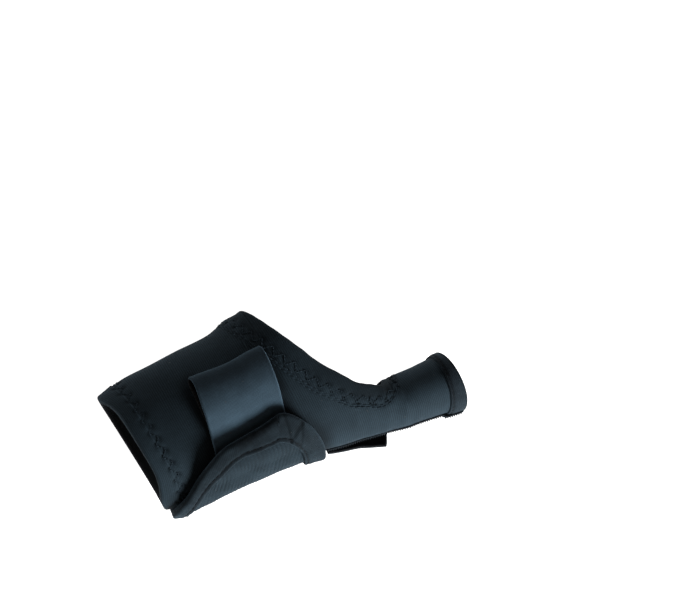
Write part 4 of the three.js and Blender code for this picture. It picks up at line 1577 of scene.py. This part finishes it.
    def dress(self) -> None:
        """Gives the flap its finishes."""
        panel, band, stitches = self.made
        dress(panel, [RIB_KNIT, LINING], "closure_flap")
        dress(band, [HEM_JERSEY], "flap_hem")
        dress(stitches, [THREAD])


# the strap's path: an angle round the sleeve, a share of its lift and a share of its shift under itself
STRAP_PATH = np.array([
    (134, 0, 0), (124, 0, 0), (114, 0.01, 0), (107, 0.17, 0), (99, 0.56, 0), (91, 0.86, 0), (83, 0.98, 0),
    (76, 0.93, 0.1), (70.5, 0.76, 0.4), (68, 0.47, 0.8), (70, 0.18, 1), (75, 0.03, 0.9), (85, 0, 0.5),
    (98, 0, 0.1),
])
# the tab's path: an angle round the sleeve and a share of its lift
TAB_PATH = np.array([(252, 0), (237, 0), (223, 0.02), (212, 0.13), (204, 0.4), (198, 0.74), (194.5, 1)])


def painted_edge_shadow(points: Array, line: Array, deep: float, reach: float) -> Array:
    """Paints shadow on cloth beside a raised edge that stands over it.

    Args:
        points: The cloth's points.
        line: The edge's points.
        deep: The most that it is darkened.
        reach: How far this goes, in mm.

    Returns:
        How dark each point is.
    """
    away = nearest(points.reshape(-1, 3), line)[0].reshape(points.shape[:-1])
    return deep * np.exp(-(np.maximum(away - 1.2, 0) / reach) ** 2)


def finer(table: Array, count: int) -> Array:
    """Puts more rows between those of a path table, each with every column worked out."""
    keys = np.arange(len(table), dtype=float)
    at = np.linspace(0, len(table) - 1, (len(table) - 1) * count + 1)
    return np.stack([curve_through(keys, table[:, k], at) for k in range(table.shape[1])], -1)


def ribbon(middle: Array, thickness: Array) -> tuple[Array, Array, Array]:
    """Gives a ribbon's middle sheet its thickness.

    Args:
        middle: The sheet's points as [row, column].
        thickness: How thick it is at each of them.

    Returns:
        The front's points, the back's, and the cloth map's mm.
    """
    along, across = np.gradient(middle, axis=0), np.gradient(middle, axis=1)
    out = unit(np.cross(along, across)) * (thickness / 2)[..., None]
    return middle + out, middle - out, np.stack([run_across(middle), run_length(middle)], -1)


@dataclass
class PullStrap:
    """The brushed elastic strap, which stands off the wrist and is folded back under itself."""

    form: SleeveForm
    width: float = 36.0
    thickness: float = 1.6
    middle: float = 10.5
    lean: float = 8.5
    turn: float = 5.0
    under_shift: float = 2.6
    # painted shadow below the flap's rim, and painted shade towards the fold
    edge_shadow: Pair = (0.8, 1.7)
    fold_shade: Triple = (0.42, 20.0, 38.0)
    lift: float = 5.6
    made: list[bpy.types.Object] = field(default_factory=list)

    def sheet(self, across: Array) -> Array:
        """Places the strap's middle sheet.

        Args:
            across: Shares of its width.

        Returns:
            The sheet's points as [along, across].
        """
        path = finer(STRAP_PATH, 12)
        angle, lift, under = (path[:, k][:, None] for k in range(3))
        out = (STRAP_PATH[0, 0] - angle) / (STRAP_PATH[0, 0] - STRAP_PATH[:, 0].min())
        x = self.middle + self.lean * out - self.under_shift * under + (across - 0.5) * self.width
        height = self.form.wall + 0.3 + self.thickness / 2 + self.lift * lift
        return self.form.layer(x, angle + self.turn * (across - 0.5) * out, height + 0 * x)

    def sides(self) -> list[Array]:
        """Follows the strap's two long sides."""
        ends = self.sheet(np.array([0.0, 1.0]))
        return [ends[:, 0], ends[:, 1]]

    def build(self) -> None:
        """Makes the strap."""
        across = dense_ends(self.width, 0.7, [0, 0.08, 0.25, 0.5, 0.9, 1.5]) / self.width
        middle = self.sheet(across)
        side = np.minimum(across, 1 - across)[None] * self.width
        reach = run_length(middle)
        end = np.minimum(reach, reach[-1:] - reach)
        away = np.minimum(side + 0 * end, end)
        cord = 0.22 * np.exp(-((side - 0.7) / 0.5) ** 2)
        ripple = 0.05 * waves(middle, 41, (5, 15)) * smooth_step(0.5, 2, away)
        thick = (self.thickness * 0.92 + cord + ripple) * rounded(away, 0.75)
        front, back, cloth = ribbon(middle, thick)
        # painted shade on the strap towards its fold, where it turns from the light, and painted shadow below
        # the flap's rim
        deep, start, stop = self.fold_shade
        edge_shadow = painted_edge_shadow(back, ClosureFlap(self.form).rim(), *self.edge_shadow)
        dark = 1 - (1 - edge_shadow) * (1 - deep * smooth_step(start, stop, reach))
        back, front, cloth, dark = (grid[:, ::-1] for grid in (back, front, cloth, dark))
        self.made.append(join_layers("pull_strap_elastic", back, front, cloth, (0, 1), dark))

    def dress(self) -> None:
        """Gives the strap its finishes."""
        strap, = self.made
        dress(strap, [ELASTIC, HOOK_SIDE], "pull_strap")


@dataclass
class PalmTab:
    """The tab on the palm's side of the thumb, whose free corner stands off."""

    form: SleeveForm
    start: float = 44.0
    length: float = 32.2
    slant: float = 4.0
    thickness: float = 1.8
    lift: float = 6.0
    near_share: float = 0.35
    stitch_inset: float = 2.2
    stitch: Triple = (2.0, 0.6, 0.08)
    stitch_thread: float = 0.16
    made: list[bpy.types.Object] = field(default_factory=list)

    def build(self) -> None:
        """Makes the tab and the stitches round it."""
        f = self.form
        path = finer(TAB_PATH, 9)
        angle, lift = path[:, :1], path[:, 1:2]
        across = dense_ends(self.length, 0.7, [0, 0.1, 0.3, 0.6, 1.0, 1.5]) / self.length
        height = f.wall + 0.3 + self.thickness / 2 + self.lift * mix(self.near_share, 1, across) * lift
        x = self.start + (self.length - self.slant * lift) * across
        middle = f.layer(x, angle + 0 * x, height)
        side = np.minimum(across, 1 - across)[None] * self.length
        reach = run_length(middle)
        away = np.minimum(side, np.minimum(reach, reach[-1:] - reach))
        groove = 0.3 * np.exp(-((away - self.stitch_inset) / 0.45) ** 2)
        thick = (self.thickness * 0.95 - groove + 0.05 * waves(middle, 51, (4, 12))) * rounded(away, 0.85)
        front, back, cloth = ribbon(middle, thick)
        # painted shade in the stitch grooves
        self.made.append(join_layers("palm_tab_cloth", front, back, cloth, (0, 1), 1.4 * groove))
        out = unit(front - back)
        lines = []
        k = int(np.searchsorted(across * self.length, self.stitch_inset))
        rows = slice(4, -4)
        for grid, sign in ((front, 1), (back, -1)):
            for column in (k, -k - 1):
                lines += stitch_run(grid[rows, column], sign * out[rows, column], *self.stitch)
        self.made.append(thread("palm_tab_stitches", lines, self.stitch_thread))

    def dress(self) -> None:
        """Gives the tab its finishes."""
        tab, stitches = self.made
        # outer face painted darker, shaded inner face painted lighter
        dress(tab, [TAB_CLOTH, TAB_INNER_PAINTED_LIGHT], "palm_tab")
        dress(stitches, [THREAD])


# the studio


@dataclass
class Studio:
    """The pale floor, the soft lights and the camera at the photograph's angle."""

    floor_size: float = 6.0
    floor_gap: float = 0.0006
    middle: Triple = (0.03, -0.005, 0.0)
    distance: float = 0.7
    pixel: float = 0.47 * MM
    image: tuple[int, int] = (696, 600)
    origin: Pair = (208.4, 418.5)
    tilt: Pair = (10.0, 8.0)
    roll: float = 28.0
    # directions are from the part, powers in watts and sizes in metres
    key_from: Triple = (0.25, -0.93, 0.22)
    key_power: float = 24.5
    key_size: float = 0.4
    key_away: float = 1.1
    fill_size: float = 0.35
    fill_away: float = 1.3
    fills: tuple[tuple[str, Triple, float], ...] = (
        ("back_fill", (-0.2, 0.97, 0.04), 4.3),
        ("thumb_fill", (0.96, 0.15, 0.1), 6.0),
        ("forearm_fill", (-0.97, 0.1, 0.06), 3.8),
    )
    world: float = 0.13
    bounce: Colour = (1.0, 0.82, 0.72)
    table_glow: float = 0.45

    def build(self) -> None:
        """Makes the floor, the lights, the world and the camera."""
        low = CAD_BOX[0].z - self.floor_gap
        bpy.ops.mesh.primitive_plane_add(size=self.floor_size, location=(self.middle[0], 0, low))
        floor = bpy.context.active_object
        floor.name = "studio_floor"
        made = bpy.data.materials.new("studio_white")
        made.use_nodes = True
        shader = made.node_tree.nodes["Principled BSDF"]
        tree = made.node_tree
        seen = put(tree, "LightPath").outputs["Is Camera Ray"]
        set_inputs(shader, {
            "Base Color": (0.9, 0.9, 0.9, 1),
            "Roughness": 0.9,
            "Specular IOR Level": 0.1,
            "Emission Color": (1, 1, 1, 1),
            "Emission Strength": calc(tree, "MULTIPLY_ADD", seen, 1 - self.table_glow, self.table_glow),
        })
        floor.data.materials.append(made)
        self.light("key", self.key_from, self.key_away, self.key_size, self.key_power)
        for name, toward, power in self.fills:
            self.light(name, toward, self.fill_away, self.fill_size, power)
        self.surroundings()
        self.camera()

    def light(self, name: str, toward: Triple, away: float, size: float,
              power: float) -> None:
        """Adds a soft light that faces the part.

        Args:
            name: The light's name.
            toward: The direction from the part to the light.
            away: Its distance in metres.
            size: Its width in metres.
            power: Its power in watts.
        """
        lamp = bpy.data.lights.new(name, "AREA")
        lamp.shape, lamp.size, lamp.energy = "DISK", size, power
        direction = unit(np.array(toward))
        place = np.array(self.middle) + direction * away
        holder = bpy.data.objects.new(name, lamp)
        aside = unit(np.cross([0, 0, 1.0], direction))
        turn = np.stack([aside, np.cross(direction, aside), direction], 1)
        holder.matrix_world = Matrix.Translation(place) @ Matrix(turn.tolist()).to_4x4()
        bpy.context.scene.collection.objects.link(holder)

    def surroundings(self) -> None:
        """Makes the world white to the eye and dim as a light."""
        world = bpy.data.worlds.new("studio_world")
        bpy.context.scene.world = world
        world.use_nodes = True
        tree = world.node_tree
        tree.nodes.clear()
        seen = put(tree, "LightPath").outputs["Is Camera Ray"]
        strength = calc(tree, "MULTIPLY_ADD", seen, 1 - self.world, self.world)
        colour = blend_colour(tree, seen, self.bounce, (1.0, 1.0, 1.0))
        put(tree, "OutputWorld", put(tree, "Background", colour, strength).outputs[0])

    def camera(self) -> None:
        """Puts the camera where the photograph was taken from."""
        tilt_x, tilt_y = (math.radians(t) for t in self.tilt)
        n = np.array([-math.sin(tilt_x), -math.sin(tilt_y), 0.0])
        n[2] = math.sqrt(1 - n[0] ** 2 - n[1] ** 2)
        x_axis = unit(np.array([1.0, 0, 0]) - n * n[0])
        y_axis = np.cross(n, x_axis)
        roll = math.radians(self.roll)
        right = math.cos(roll) * x_axis - math.sin(roll) * y_axis
        up = math.sin(roll) * x_axis + math.cos(roll) * y_axis
        aside = (self.origin[0] - self.image[0] / 2) * self.pixel
        above = -(self.origin[1] - self.image[1] / 2) * self.pixel
        place = -(right * aside + up * above) + n * self.distance
        data = bpy.data.cameras.new("photo_camera")
        data.lens = data.sensor_width * self.distance / (self.image[0] * self.pixel)
        data.clip_start, data.clip_end = 0.01, 20
        camera = bpy.data.objects.new("photo_camera", data)
        turn = np.stack([right, up, n], 1)
        camera.matrix_world = Matrix.Translation(place) @ Matrix(turn.tolist()).to_4x4()
        bpy.context.scene.collection.objects.link(camera)
        bpy.context.scene.camera = camera


def main() -> None:
    """Builds the studio and the splint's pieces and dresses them."""
    logging.basicConfig(level=logging.INFO, format="%(message)s")
    Studio().build()
    bpy.context.scene.view_settings.view_transform = "Standard"
    form = SleeveForm()
    for part in (WristSleeve(form), ThumbEnd(form), ClosureFlap(form), PullStrap(form), PalmTab(form)):
        part.build()
        part.dress()
        log.info("%s is done", type(part).__name__)


if __name__ == "__main__":
    main()
